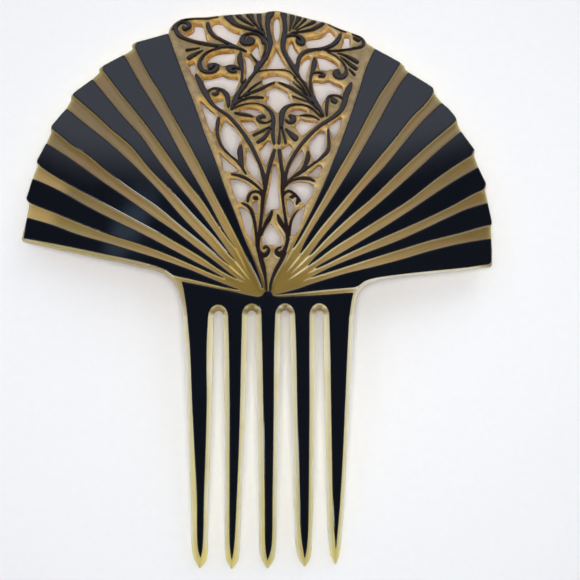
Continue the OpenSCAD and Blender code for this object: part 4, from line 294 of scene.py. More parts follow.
  [[315, 181.7, 0.8], [310.5, 179.4, 1.7], [305, 178.4, 1.9], [298.5, 179, 1.6], [292.5, 180.7, 1], [287.5, 184.5, 0.8], [283.5, 189, 0.8]],
  # leaves beside the stems
  [[219, 118, 1.2], [218, 123, 1.9], [217.3, 130, 1.5], [218, 137, 1.2], [220.5, 144, 1.1], [225, 150.5, 1.1], [231, 155.8, 1], [237, 161.5, 1], [242, 167.5, 1], [246, 174, 0.8]],
  [[241, 146, 1.2], [240.3, 151, 2.6], [240.5, 157, 2.7], [241.5, 163, 2], [243, 169, 0.8]],
  [[219, 153, 0.6], [227, 160.3, 0.6], [234, 166, 0.7], [239.5, 170.3, 0.5]],
  [[328, 130, 1], [328.5, 137, 1.4], [328.8, 145, 1.5], [327.5, 151.5, 1.7], [323, 156.5, 1.4], [317, 161.3, 1.1], [310.5, 166, 1.1], [304, 170.3, 1.6], [298, 174, 1.8], [292, 178, 1], [287, 182.5, 0.7]],
  [[307.8, 152, 1], [308, 156.5, 2.1], [306.8, 161.5, 2.1], [304.5, 166.5, 1.6], [301.5, 170.5, 1]],
  [[199.5, 101.5, 0.8], [205, 106, 0.6], [210.5, 110.5, 0.5]],
  # lower volutes
  [[247.8, 201.3, 1.2], [248.6, 197, 1.4], [251, 193.3, 1.2], [255.3, 191.8, 1.3], [260, 193, 1.4], [262.8, 196.5, 1.5]],
  [[254.9, 198.2, 2.1], [256.3, 198.8, 2.3]],
  [[282.6, 198, 1.1], [284, 194, 1.3], [288.5, 191.4, 1.4], [294, 193.3, 1.5], [298, 197.5, 1.8], [300, 200.5, 1.4]],
  [[296.4, 204.3, 0.9], [297.7, 201.5, 1.7], [298.6, 199, 1.8]],
  [[289.8, 198.8, 2.1], [291.8, 197.4, 1.8], [294.3, 195.5, 1.2]],
  # lower leaves, inverted V and loops
  [[241.5, 203.3, 0.7], [246.5, 205.3, 1.3], [250.5, 209.5, 1.6], [253, 215.5, 1.5], [254.8, 223, 1.3], [255.8, 231, 1.2], [256.8, 239, 1.4], [257.3, 246, 1.6]],
  [[305.5, 206, 1], [300, 210, 1.2], [295.3, 214.7, 1.7], [291.8, 221, 1.6], [290, 228, 1.5], [288.8, 235, 1.6]],
  [[272.1, 211.3, 1], [270.8, 215, 1.8], [268.7, 219.5, 2.3], [266.3, 224, 2.2], [264, 229, 1.8], [261.6, 234.5, 1.5]],
  [[277.8, 214.8, 0.7], [278.5, 217.5, 1.4], [279.8, 221, 2.1], [282.2, 225, 2.1], [284.8, 229.3, 1.5], [286.8, 233.5, 1.3]],
  [[258, 240, 1.6], [257.8, 246, 1.5], [258.8, 251, 1.8], [261.5, 254.8, 2.3], [264.8, 255.2, 2.3], [267.9, 252.8, 1.7], [269, 249.5, 1.1], [267.3, 247, 0.9], [264.9, 246.9, 1.1], [264, 248.4, 1.2]],
  [[288, 238, 1.5], [286.5, 245, 1.5], [284.1, 251, 1.9], [280.7, 254.3, 2.7], [277.5, 253.7, 2.2], [276, 251, 1.3], [277.4, 248.6, 1], [281, 247.3, 0.7]],
  [[279.2, 254.4, 2.6], [280.8, 254, 2.6]],
  # stems to the point of the fan
  [[259.5, 252, 1.8], [261, 259, 2.1], [263.3, 267, 2.1], [265.2, 276, 1.4], [266.2, 285, 0.9], [266.5, 293, 0.7]],
  [[285, 253, 1.5], [281, 261, 1.7], [277, 268, 1.7], [273.3, 276, 1.3], [270.8, 284, 1], [270, 293, 1]]]

# ---- light lines between the scrolls: middle line of each from end to end ---------
# columns of each point: x, y, half width
cuts = [
  # between the plumes of the left tall leaf
  [[234.4, 17.3, 1.4], [237.2, 20.2, 1.6], [241, 22.7, 1.1], [246, 24.8, 0.7], [252, 26.6, 0.5], [258, 29.3, 0.3]],
  [[244.2, 16.3, 1.5], [247.2, 19, 1.4], [250.6, 22.4, 0.9], [254.2, 25.8, 0.6], [258.8, 29.6, 0.35]],
  [[255.3, 15.9, 1.2], [256, 20, 1.3], [257.6, 24.3, 0.9], [260.4, 28.6, 0.5], [263.5, 32.6, 0.3]],
  [[263.4, 16, 1.4], [263.4, 20, 1.4], [264.1, 25, 1], [265.5, 30, 0.5], [266.6, 33.5, 0.3]],
  [[249, 31.7, 0.3], [256, 32.4, 0.45], [262, 35.7, 0.5], [266, 41, 0.6], [267.6, 47, 0.6], [266.3, 53, 0.45], [263.8, 58, 0.3]],
  [[248, 37.6, 0.3], [246.4, 38.7, 0.4], [246, 40.4, 0.45], [247, 42.2, 0.3]],
  [[250, 36.8, 0.4], [254.3, 38.6, 0.6], [257.4, 42, 0.7], [259, 46, 0.7]],
  # between the plumes of the right tall leaf
  [[288.6, 17.4, 1], [288.9, 21, 0.9], [288.8, 25.5, 0.7], [288.4, 31, 0.45]],
  [[295.7, 18, 0.9], [294.8, 21, 0.7], [293, 25.3, 0.5], [290.9, 30.3, 0.35]],
  [[302.6, 19.4, 0.9], [300.1, 22.2, 0.8], [296.8, 25.8, 0.6], [292.8, 30.3, 0.35]],
  [[307.6, 21.2, 1.5], [304.6, 24.3, 1.2], [300, 27.3, 0.7], [295, 30.4, 0.4]],
  [[318, 23.8, 1.1], [313.5, 26.1, 1.1], [308, 28.2, 0.9], [302, 29.8, 0.5], [295, 31.7, 0.35]],
  [[296.2, 38, 0.35], [298.8, 39.5, 0.45], [300.3, 41.6, 0.35]],
  # bars beside the long leaves
  [[184, 42, 0.9], [193, 44.3, 0.8], [202, 45.7, 0.6], [210, 46.9, 0.35]],
  [[184.5, 53, 0.9], [193.5, 50.8, 0.7], [201, 48.5, 0.5], [207, 47.7, 0.3]],
  [[207.5, 50, 0.35], [202.5, 53.7, 0.6], [198.5, 58.5, 0.6], [195.5, 62, 0.6]],
  [[331, 52.6, 0.3], [339, 53, 0.45], [347, 54.7, 0.8], [356, 57, 1.1]],
  [[335, 53.6, 0.3], [343, 57.3, 0.6], [350, 61.3, 0.8], [358, 65.6, 1]],
  [[331, 52.8, 0.3], [338, 56.6, 0.6], [343.5, 61.3, 0.7], [348, 67, 1]],
  # round the left stem
  [[256.5, 77.5, 1.1], [252, 82.8, 0.9], [247, 88, 0.7], [242.3, 93.2, 0.5], [239, 97.5, 0.3]],
  [[247.8, 79.5, 0.6], [244.5, 83.2, 0.6], [242, 86.7, 0.5], [240.6, 89.5, 0.3]],
  [[262.5, 83, 1.3], [258, 86.8, 1], [254, 89.6, 0.7], [250.5, 91.9, 0.3]],
  [[257, 94.6, 0.9], [250.5, 95.6, 0.6], [245, 97.6, 0.5], [241, 99.5, 0.3]],
  [[252, 101.4, 0.8], [245.5, 102.1, 0.7], [240.3, 103.7, 0.5], [236.3, 105.6, 0.3]],
  # round the right stem
  [[288.5, 68.5, 0.7], [294, 74.5, 0.7], [299, 80, 0.7], [303.5, 86, 0.6], [307.5, 92, 0.5], [310.8, 98, 0.35]],
  [[293, 84.5, 1.4], [297, 88.3, 1], [301, 91.5, 0.6], [305, 94.8, 0.3]],
  [[294, 94.3, 0.9], [299, 95.9, 0.7], [303, 97.6, 0.5], [307, 100, 0.3]],
  [[303, 102.2, 0.9], [308, 103.6, 0.8], [312.3, 106.3, 0.6], [316, 109.7, 0.35]],
  [[307.3, 84.5, 0.6], [308.8, 88.8, 0.5], [310.3, 92.5, 0.3]],
  # between the bars under the moustache scrolls
  [[260.5, 136.8, 1.3], [265, 132.4, 0.9], [269.5, 128.3, 0.4]],
  [[270.3, 141, 1], [270.6, 134.5, 0.6], [271.1, 129, 0.3]],
  [[281.8, 142.5, 1], [281.3, 135, 0.7], [280.6, 128, 0.35]],
  [[288, 141.5, 1.2], [285.8, 135, 0.8], [283.5, 129.3, 0.35]],
  # curls of the scroll ends and small balls
  [[202, 61.5, 0.4], [203.1, 65, 0.5], [205.2, 68.2, 0.5], [208.2, 69.9, 0.45], [211.2, 69.7, 0.4], [213.8, 67.9, 0.4], [215.2, 66.3, 0.3]],
  [[231.8, 70.6, 0.3], [233.4, 69.5, 0.4], [236, 69.7, 0.5], [238.6, 71.6, 0.6], [240, 75, 0.6]],
  [[342.6, 68.5, 0.8], [342.9, 71.6, 0.7], [341.3, 74, 0.6], [338.4, 74.8, 0.4]],
  [[315, 74.8, 0.4], [318.5, 74.4, 0.45], [320.7, 75.2, 0.3]],
  [[334, 98.4, 0.3], [336.8, 98.1, 0.45], [339.3, 99.9, 0.5], [340.2, 103, 0.6]],
  [[330.2, 98, 0.7], [330, 101.5, 0.7], [330.3, 105, 0.8]]]
# ---- the comb's frame, in mm ----------------------------------------------------
SQ, R, T_BLACK, T_ALL = 0.341, 300.0, 1.2, 4.2
POLE, SIGHT, EYE = np.array([260.28, 292.0]), np.array([290.0, 290.0]), 400.0
LEAN, SEAT, RIM = math.radians(0.95), np.array([1.26, -0.51]), 96.05
CZ = -math.sqrt((R - T_ALL) ** 2 - RIM ** 2)
MID = np.array([SEAT[0], SEAT[1], CZ])


def arr(t):
    return np.array(t, float)


def table_point(px):
    """Grid points as points of the surface that the comb lies on."""
    d = (px - POLE) * [SQ, -SQ]
    c, s = math.cos(LEAN), math.sin(LEAN)
    return np.stack([d[:, 0] * c - d[:, 1] * s, d[:, 0] * s + d[:, 1] * c], 1) + SEAT


CAM = np.array([*table_point(SIGHT[None])[0], EYE])


def to_plan(px, depth):
    """Where a grid point falls on the bowl at a depth under its outer face, as a
    point of the outer face's plan, in mm from the bowl's axis."""
    g = table_point(np.asarray(px, float))
    d = np.column_stack([g, np.zeros(len(g))]) - CAM
    oc = CAM - MID
    a, b = (d * d).sum(1), 2 * (d @ oc)
    cc = oc @ oc - (R - np.asarray(depth, float)) ** 2
    t = (-b - np.sqrt(b * b - 4 * a * cc)) / (2 * a)
    v = CAM + d * t[:, None] - MID
    return (v / np.linalg.norm(v, axis=1)[:, None] * R)[:, :2]


def frame_of(u):
    """Outward direction and the two level tangents at plan points."""
    z = np.sqrt(R * R - (u * u).sum(1))
    n = np.column_stack([u, z]) / R
    ex = np.column_stack([np.ones(len(u)), np.zeros(len(u)), -u[:, 0] / z])
    ey = np.column_stack([np.zeros(len(u)), np.ones(len(u)), -u[:, 1] / z])
    return n, ex / np.linalg.norm(ex, axis=1)[:, None], ey / np.linalg.norm(ey, axis=1)[:, None]


def solid_point(u, depth):
    n = frame_of(u)[0]
    return MID + n * (R - np.asarray(depth, float).reshape(-1, 1))


def outward(px):
    """How far, in squares, the foot of a full wall is seen beyond its top."""
    return 0.014 * (px - POLE) + 0.0105 * (px - SIGHT)


# ---- lines ------------------------------------------------------------------------
def spline(p, steps, closed=False):
    p = arr(p)
    n = len(p)
    k = np.arange(n if closed else n - 1)
    pick = (lambda i: p[i % n]) if closed else (lambda i: p[np.clip(i, 0, n - 1)])
    a, b, c, d = (pick(k + i)[:, None, :] for i in (-1, 0, 1, 2))
    u = (np.arange(steps) / steps)[None, :, None]
    q = 0.5 * (2 * b + (c - a) * u + (2 * a - 5 * b + 4 * c - d) * u ** 2 + (3 * b - a - 3 * c + d) * u ** 3)
    q = q.reshape(-1, p.shape[1])
    return q if closed else np.vstack([q, p[-1:]])


def even(p, step, closed=True):
    """The line again with points a step apart."""
    q = np.vstack([p, p[:1]]) if closed else p
    s = np.concatenate([[0], np.cumsum(np.linalg.norm(np.diff(q[:, :2], axis=0), axis=1))])
    n = max(int(round(s[-1] / step)), 4)
    t = np.linspace(0, s[-1], n + 1)
    out = np.column_stack([np.interp(t, s, q[:, i]) for i in range(q.shape[1])])
    return out[:-1] if closed else out


def area(p):
    x, y = p[:, 0], p[:, 1]
    return 0.5 * float(np.sum(x * np.roll(y, -1) - y * np.roll(x, -1)))


def side_of(p):
    """Unit normals on the left of a closed line."""
    d = np.roll(p, -1, 0)[:, :2] - np.roll(p, 1, 0)[:, :2]
    d /= np.maximum(np.linalg.norm(d, axis=1), 1e-9)[:, None]
    return np.stack([-d[:, 1], d[:, 0]], 1)


def arch(cx, top, w, drop):
    a = np.radians(np.linspace(6, 174, 15))
    return np.stack([cx + w * np.cos(a), top + w * drop - w * drop * np.sin(a)], 1)


def prong(t):
    t = arr(t)
    return np.vstack([spline(t[:, [2, 0]], 4), spline(t[:, [1, 0]], 4)[::-1]])


class Lines:
    """A set of closed lines with the solid on their left, for distances and sides."""

    def __init__(self, loops, kinds=None):
        self.loops = loops
        self.p = np.vstack(loops)
        self.nxt, self.prv, at = [], [], 0
        for l in loops:
            i = np.arange(len(l))
            self.nxt.append(at + (i + 1) % len(l))
            self.prv.append(at + (i - 1) % len(l))
            at += len(l)
        self.nxt, self.prv = np.concatenate(self.nxt), np.concatenate(self.prv)
        self.kinds = None if kinds is None else np.vstack(kinds)
        self.kd = KDTree(len(self.p))
        for i, q in enumerate(self.p):
            self.kd.insert((q[0], q[1], 0.0), i)
        self.kd.balance()
        self.y0, self.bin = self.p[:, 1].min() - 1, 0.5
        a, b = self.p, self.p[self.nxt]
        lo = ((np.minimum(a[:, 1], b[:, 1]) - self.y0) / self.bin).astype(int)
        hi = ((np.maximum(a[:, 1], b[:, 1]) - self.y0) / self.bin).astype(int)
        self.rows = {}
        for i, (l, h) in enumerate(zip(lo, hi)):
            for k in range(l, h + 1):
                self.rows.setdefault(k, []).append(i)

    def inside(self, q):
        out = np.zeros(len(q), bool)
        key = np.floor((q[:, 1] - self.y0) / self.bin).astype(int)
        order = np.argsort(key, kind="stable")
        cuts = np.flatnonzero(np.diff(key[order])) + 1
        for g in np.split(order, cuts):
            if not len(g):
                continue
            e = self.rows.get(int(key[g[0]]))
            if e is None:
                continue
            a, b = self.p[e], self.p[self.nxt[e]]
            y = q[g, 1][:, None]
            cross = (a[:, 1] > y) != (b[:, 1] > y)
            with np.errstate(divide="ignore", invalid="ignore"):
                x = a[:, 0] + (y - a[:, 1]) * (b[:, 0] - a[:, 0]) / (b[:, 1] - a[:, 1])
            out[g] = (np.sum(cross & (q[g, 0][:, None] < x), axis=1) % 2).astype(bool)
        return out

    def near(self, q):
        """Distance to the nearest line, the direction away from it, and its nearest point's index."""
        j = np.fromiter((self.kd.find((x, y, 0.0))[1] for x, y in q), int, len(q))
        best, away = np.full(len(q), 1e9), np.zeros((len(q), 2))
        for a, b in ((self.p[self.prv[j]], self.p[j]), (self.p[j], self.p[self.nxt[j]])):
            ab = b - a
            t = np.clip(((q - a) * ab).sum(1) / np.maximum((ab * ab).sum(1), 1e-12), 0, 1)
            v = q - (a + ab * t[:, None])
            d = np.linalg.norm(v, axis=1)
            k = d < best
            best[k], away[k] = d[k], v[k] / np.maximum(d[k], 1e-9)[:, None]
        on = best < 1e-3
        away[on] = np.vstack([side_of(l) for l in self.loops])[j[on]]
        return best, away, j


# ---- meshes -------------------------------------------------------------------------
def triangles(points, loops_at):
    """Triangles between plan points that keep the closed lines given by their indices."""
    edges = [(int(l[i]), int(l[(i + 1) % len(l)])) for l in loops_at for i in range(len(l))]
    v, _, f, ov, _, _ = delaunay_2d_cdt([Vector((float(x), float(y))) for x, y in points], edges, [], 0, 1e-7)
    v = arr([(p.x, p.y) for p in v])
    where = np.full(len(points), -1)
    for k, o in enumerate(ov):
        for i in o:
            where[i] = k
    t = np.array([g for g in f if len(g) == 3], int)
    flip = np.cross(v[t[:, 1]] - v[t[:, 0]], v[t[:, 2]] - v[t[:, 0]]) < 0
    t[flip] = t[flip][:, ::-1]
    return v, t, where


def make(name, verts, tris, normals, material, slot_name, **attributes):
    """A mesh piece in metres, with a normal for each corner and a number for each point."""
    used = np.unique(tris)
    new = np.full(len(verts), -1)
    new[used] = np.arange(len(used))
    verts, tris = verts[used], new[tris]
    me = bpy.data.meshes.new(name)
    me.vertices.add(len(verts))
    me.vertices.foreach_set("co", (verts / 1000).astype(np.float32).ravel())
    me.loops.add(len(tris) * 3)
    me.loops.foreach_set("vertex_index", tris.astype(np.int32).ravel())
    me.polygons.add(len(tris))
    me.polygons.foreach_set("loop_start", np.arange(0, len(tris) * 3, 3, dtype=np.int32))
    me.update(calc_edges=True)
    me.polygons.foreach_set("use_smooth", np.ones(len(tris), bool))
    nn = normals.reshape(-1, 3)
    nn = nn / np.maximum(np.linalg.norm(nn, axis=1), 1e-9)[:, None]
    me.normals_split_custom_set(nn.tolist())
    for key, val in attributes.items():
        a = me.attributes.new(key, "FLOAT", "POINT")
        a.data.foreach_set("value", val[used].astype(np.float32))
    me.materials.append(material)
    me.validate()
    ob = bpy.data.objects.new(name, me)
    bpy.context.scene.collection.objects.link(ob)
    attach(ob, "root")
    return ob


def attr_wall(key, m, t, up):
    """What a point's number becomes down a wall (t from 0 to 1) and on the under face."""
    if key == "wall":
        return np.full(m, t)
    return np.zeros(m) if up is None else up * 1.0


def plate(name, top, depth_of, low_of, rows, extra, material, slot_name, low_pitch=None):
    """A closed plate of the bowl. top: Lines of its upper edge; depth_of(plan points) gives the
    depth of the upper face, its slope and numbers for the material; low_of(plan points): depth
    of the under face; rows: distances of the lines of points inside the edge; extra: further
    plan points."""
    b = top.p
    left = np.vstack([side_of(l) for l in top.loops])
    sets = [b]
    for k, r in enumerate(rows):
        c = b + left * r
        if r > 0.7:
            c = c[::2]
        d = top.near(c)[0]
        sets.append(c[(d > 0.96 * r) & top.inside(c)])
    if extra is not None and len(extra):
        e = extra[top.inside(extra)]
        d = top.near(e)[0]
        sets.append(e[d > (rows[-1] if rows else 0) + 0.15])
    pts = np.vstack(sets)
    at, loops_at = 0, []
    for l in top.loops:
        loops_at.append(np.arange(at, at + len(l)))
        at += len(l)
    u, t, where = triangles(pts, loops_at)
    t = t[top.inside(u[t].mean(1))]
    h, slope, attr = depth_of(u)
    n, ex, ey = frame_of(u)
    verts = MID + n * (R - h)[:, None]
    nrm = n + ex * slope[:, :1] + ey * slope[:, 1:]
    nrm /= np.linalg.norm(nrm, axis=1)[:, None]
    V, T, N = [verts], [t], [nrm[t]]
    A = {k: [v] for k, v in attr.items()}
    base = len(verts)
    low_index = []
    for l, ids in zip(top.loops, loops_at):
        up = where[ids]
        m = len(ids)
        i = np.arange(m)
        j = (i + 1) % m
        side = -side_of(l)
        fn, fx, fy = frame_of(l)
        wn = fx * side[:, :1] + fy * side[:, 1:]
        lo = low_of(l)
        V.append(MID + fn * (R - (h[up] + lo) / 2)[:, None])
        V.append(MID + fn * (R - lo)[:, None])
        for k in A:
            A[k].append(attr_wall(k, m, 0.5, A[k][0][up]))
            A[k].append(attr_wall(k, m, 1.0, A[k][0][up]))
        a, c = base + i, base + m + i
        low_index.append(c)
        for p, q in ((up, a), (a, c)):
            T.append(np.stack([p[i], q[i], q[j]], 1))
            T.append(np.stack([p[i], q[j], p[j]], 1))
            N.append(np.stack([wn[i], wn[i], wn[j]], 1))
            N.append(np.stack([wn[i], wn[j], wn[j]], 1))
        base += 2 * m
    lu = top.p
    ext = np.zeros((0, 2))
    if low_pitch:
        g = grid(lu.min(0), lu.max(0), low_pitch)
        g = g[top.inside(g)]
        ext = g[top.near(g)[0] > 0.4 * low_pitch]
    u2, t2, where2 = triangles(np.vstack([lu, ext]), loops_at)
    t2 = t2[top.inside(u2[t2].mean(1))][:, ::-1]
    back = np.full(len(u2), -1)
    back[where2[: len(lu)]] = np.concatenate(low_index)
    free = np.flatnonzero(back < 0)
    back[free] = base + np.arange(len(free))
    n2 = frame_of(u2)[0]
    V.append(MID + n2[free] * (R - low_of(u2[free]))[:, None])
    for k in A:
        A[k].append(attr_wall(k, len(free), 1.0, None))
    T.append(back[t2])
    N.append(-n2[t2])
    return make(name, np.vstack(V), np.vstack(T), np.concatenate(N), material, slot_name,
                **{k: np.concatenate(v) for k, v in A.items()})


def grid(lo, hi, pitch):
    """Plan points in offset rows."""
    xs, ys = np.arange(lo[0], hi[0], pitch), np.arange(lo[1], hi[1], pitch * 0.87)
    g = np.stack(np.meshgrid(xs, ys), -1)
    g[1::2, :, 0] += pitch / 2
    return g.reshape(-1, 2)


def contour(f, x0, y0, step):
    """Closed lines where a grid of numbers passes through 0, with the negative side on their left."""
    inn = f < 0
    code = (inn[:-1, :-1] * 1 + inn[:-1, 1:] * 2 + inn[1:, 1:] * 4 + inn[1:, :-1] * 8)
    H, W = f.shape
    seg = {1: "BL", 2: "RB", 4: "TR", 8: "LT", 3: "RL", 6: "TB", 12: "LR", 9: "BT", 5: "BLTR", 10: "RBLT", 7: "TL", 11: "RT", 13: "BR", 14: "LB"}

    def edge(s, j, i):
        if s == "B":
            return j * W + i
        if s == "T":
            return (j + 1) * W + i
        if s == "L":
            return H * W + j * W + i
        return H * W + j * W + i + 1

    go = {}
    for c, s in seg.items():
        js, is_ = np.nonzero(code == c)
        for k in range(0, len(s), 2):
            for p, q in zip(edge(s[k], js, is_).tolist(), edge(s[k + 1], js, is_).tolist()):
                go[p] = q

    def point(e):
        if e < H * W:
            j, i = divmod(e, W)
            a, b = f[j, i], f[j, i + 1]
            return x0 + (i + a / (a - b)) * step, y0 + j * step
        j, i = divmod(e - H * W, W)
        a, b = f[j, i], f[j + 1, i]
        return x0 + i * step, y0 + (j + a / (a - b)) * step

    loops = []
    while go:
        e = next(iter(go))
        line = []
        while e in go:
            line.append(point(e))
            e = go.pop(e)
        if len(line) > 8:
            loops.append(arr(line))
    return loops

# =====================================================================================
# The pieces
# =====================================================================================
AMBER_TOP = 1.06      # depth of the amber beside the black
BLACK_LOW = 1.55      # depth to which the black reaches into it
SCROLL_WALL = 1.1


def px_sides(loop):
    """Normals out of the solid, on the grid, of a closed line with the solid on its left when y is up."""
    q = loop[:, :2] * [1, -1]
    return -side_of(q) * [1, -1]


def seen_depth(loop, top, low):
    """Depth of the edge that is drawn: the foot where the wall faces the middle of the drawing, else the top."""
    v = outward(loop[:, :2])
    m = -(px_sides(loop) * v).sum(1) / np.maximum(np.linalg.norm(v, axis=1), 1e-6)
    w = np.clip((m + 0.05) / 0.35, 0, 1)
    w = w * w * (3 - 2 * w)
    return top + (low - top) * w


def turned(loop, hole=False):
    """The loop with the solid on its left when y is up."""
    a = area(loop[:, :2] * [1, -1])
    return loop[::-1] if (a < 0) != hole else loop


def with_kind(p, w, drop, pale):
    """Width and depth of the edge's rounding, and how far it is pale."""
    return np.column_stack([p[:, :2], np.full(len(p), w), np.full(len(p), drop), np.full(len(p), pale)])


def corners(t, r=0.5):
    """A line through the points of a table with its corners eased."""
    p = arr(t)
    out = [p[:1]]
    for i in range(1, len(p) - 1):
        a, b = p[i - 1] - p[i], p[i + 1] - p[i]
        la, lb = np.linalg.norm(a), np.linalg.norm(b)
        ea, eb = p[i] + a / la * min(r, la / 3), p[i] + b / lb * min(r, lb / 3)
        out.append(np.stack([ea, (ea + 2 * p[i] + eb) / 4, eb]))
    out.append(p[-1:])
    return np.vstack(out)


def low_depth(u):
    """Depth of the hollow side; the rim and the tips of the tines thicken to touch the table."""
    r = np.linalg.norm(u, axis=1)
    table = R + CZ / np.sqrt(1 - (r / R) ** 2)
    touch = R + CZ / math.sqrt(1 - (RIM / R) ** 2)
    return np.minimum(T_ALL + (touch - T_ALL) * np.minimum(r / RIM, 1) ** 14, table - 0.005)


def line_of_comb():
    parts = [with_kind(spline(crest[:-1], 3), 0.5, 0.4, 0.3), with_kind(corners(crest[-1:] + right_rim), 0.5, 0.4, 0.5),
             # the right shoulder's bevel is fully pale, partly as a painted highlight along it; the left one is paler
             # only to 0.35
             with_kind(spline(right_shoulder, 4), 1.5, 1.3, 1)]
    for k in (4, 3, 2, 1, 0):
        parts.append(with_kind(prong(tines[k]), 2.0, 1.9, 1))
        if k:
            parts.append(with_kind(arch(arches[k - 1][0], arches[k - 1][1], 4.9, 1.2), 2.0, 1.9, 1))
    parts += [with_kind(spline(left_shoulder, 4), 1.5, 1.3, 0.35), with_kind(corners(left_rim), 0.5, 0.4, 0.5)]
    return turned(np.vstack(parts))


def line_of_heading():
    parts = [spline(heading_top, 3), arr(heading_right)]
    for k in (4, 3, 2, 1, 0):
        parts.append(prong(strips[k]))
        if k:
            b = black_arches[k - 1]
            parts.append(arch(b[0], b[1], b[2], 1.25))
    parts.append(arr(heading_left))
    return turned(np.vstack(parts))


def clean(l, least):
    """The loop without points closer together than least."""
    keep = [0]
    for i in range(1, len(l)):
        if np.hypot(*(l[i, :2] - l[keep[-1], :2])) >= least:
            keep.append(i)
    if np.hypot(*(l[keep[-1], :2] - l[0, :2])) < least and len(keep) > 4:
        keep.pop()
    return l[keep]


def soften(l, rounds=1):
    """The closed line with its smallest kinks taken out."""
    for _ in range(rounds):
        l = np.column_stack([(np.roll(l[:, :2], 1, 0) + 2 * l[:, :2] + np.roll(l[:, :2], -1, 0)) / 4, l[:, 2:]])
    return l


# ---- the black pieces: their upper edges in the plan ------------------------------
def black_loop(px, step=0.3, low=SCROLL_WALL):
    l = clean(even(px, 0.9), 0.25)
    d = seen_depth(l, 0.12, low)
    u = to_plan(l[:, :2], d)
    return clean(soften(even(u, step)), step * 0.45)


heading_u = black_loop(line_of_heading(), 0.33)


def pleat_loop(t):
    p = arr(t)
    n = len(p)
    # the ends reach the rim; corners stay where the line turns by more than 28 degrees
    rel = p - POLE
    p = POLE + rel * (1 + 0.0024 * np.clip((np.linalg.norm(rel, axis=1) - 150) / 80, 0, 1))[:, None]
    a, b = p - np.roll(p, 1, 0), np.roll(p, -1, 0) - p
    turn = np.abs(np.degrees(np.arctan2(a[:, 0] * b[:, 1] - a[:, 1] * b[:, 0], (a * b).sum(1))))
    sharp = np.flatnonzero(turn > 28)
    out = []
    for i, s in enumerate(sharp):
        e = sharp[(i + 1) % len(sharp)]
        k = (e - s) % n
        seg = p[(s + np.arange(k + 1)) % n]
        out.append((spline(seg, 4) if len(seg) > 2 else seg)[:-1])
    q = np.vstack(out)
    return turned(q)


pleats_u = {}
for side_name, table in (("left", left_pleats), ("right", right_pleats)):
    for i, t in enumerate(table):
        pleats_u[f"{side_name}_pleat_{i + 1}"] = black_loop(pleat_loop(t), 0.38)

# ---- the amber's upper edge in the plan ----------------------------------------------
comb_px = clean(even(line_of_comb(), 1.0), 0.3)
edge_top = AMBER_TOP + comb_px[:, 3]
comb_u = np.column_stack([to_plan(comb_px[:, :2], seen_depth(comb_px, edge_top, T_ALL)), comb_px[:, 2:]])
comb_u = clean(even(comb_u, 0.42), 0.2)
HOLE_W, HOLE_DROP = 0.45, 0.3
holes_u = []
for t in openings:
    l = turned(clean(even(spline(t, 6, closed=True), 0.7), 0.25), hole=True)
    u = to_plan(l, seen_depth(l, AMBER_TOP + HOLE_DROP, T_ALL))
    u = clean(soften(even(u, 0.34)), 0.18)
    holes_u.append(with_kind(u, HOLE_W, HOLE_DROP, 0))
amber_loops = [comb_u] + holes_u
AMBER = Lines([l[:, :2] for l in amber_loops], [l[:, 2:] for l in amber_loops])


# ---- the scrolls: every stroke as a band round its middle line ----------------------
def bands(table):
    """Short straight pieces of the middle lines in the plan, with their half widths."""
    segs = []
    for t in table:
        q = spline(t, 5)
        v = outward(q[:, :2]) * (SCROLL_WALL / T_ALL)
        tg = np.gradient(q[:, :2], axis=0)
        tg /= np.maximum(np.linalg.norm(tg, axis=1), 1e-6)[:, None]
        nv = np.abs(v[:, 0] * -tg[:, 1] + v[:, 1] * tg[:, 0])
        c = q[:, :2] + v / 2
        w = np.maximum(q[:, 2] + (0.35 - 0.5 * nv if table is strokes else 0), 0.3)
        u = to_plan(c, np.zeros(len(c)))
        z = MID[2] + np.sqrt(R * R - (u * u).sum(1))
        w = w * SQ * (1 - z / EYE)
        segs.append(np.column_stack([u[:-1], u[1:], w[:-1], w[1:]]))
    return np.vstack(segs)


def field_of(s, lo, hi, step):
    """Distances from the edges of bands on a grid in the plan, negative inside."""
    W, H = int((hi[0] - lo[0]) / step) + 1, int((hi[1] - lo[1]) / step) + 1
    f = np.full((H, W), 1.2)
    for ax, ay, bx, by, wa, wb in s:
        m = max(wa, wb) + 1.2
        i0, i1 = int((min(ax, bx) - m - lo[0]) / step), int((max(ax, bx) + m - lo[0]) / step) + 2
        j0, j1 = int((min(ay, by) - m - lo[1]) / step), int((max(ay, by) + m - lo[1]) / step) + 2
        i0, j0, i1, j1 = max(i0, 0), max(j0, 0), min(i1, W), min(j1, H)
        X, Y = lo[0] + np.arange(i0, i1) * step, lo[1] + np.arange(j0, j1) * step
        px, py = X[None, :] - ax, Y[:, None] - ay
        dx, dy = bx - ax, by - ay
        k = np.clip((px * dx + py * dy) / max(dx * dx + dy * dy, 1e-9), 0, 1)
        d = np.hypot(px - k * dx, py - k * dy) - (wa + (wb - wa) * k)
        f[j0:j1, i0:i1] = np.minimum(f[j0:j1, i0:i1], d)
    return f


def keep_out(f, lo, step, loops, gap, invert=False):
    """Takes the inside of closed lines, and a gap round them, out of the field."""
    L = Lines(loops)
    H, W = f.shape
    j, i = np.nonzero(f < 0.6)
    q = np.column_stack([lo[0] + i * step, lo[1] + j * step])
    d = L.near(q)[0]
    ins = L.inside(q)
    s = np.where(ins, -d, d)           # negative inside the lines
    f[j, i] = np.maximum(f[j, i], (s if invert else -s) + gap)
    return f


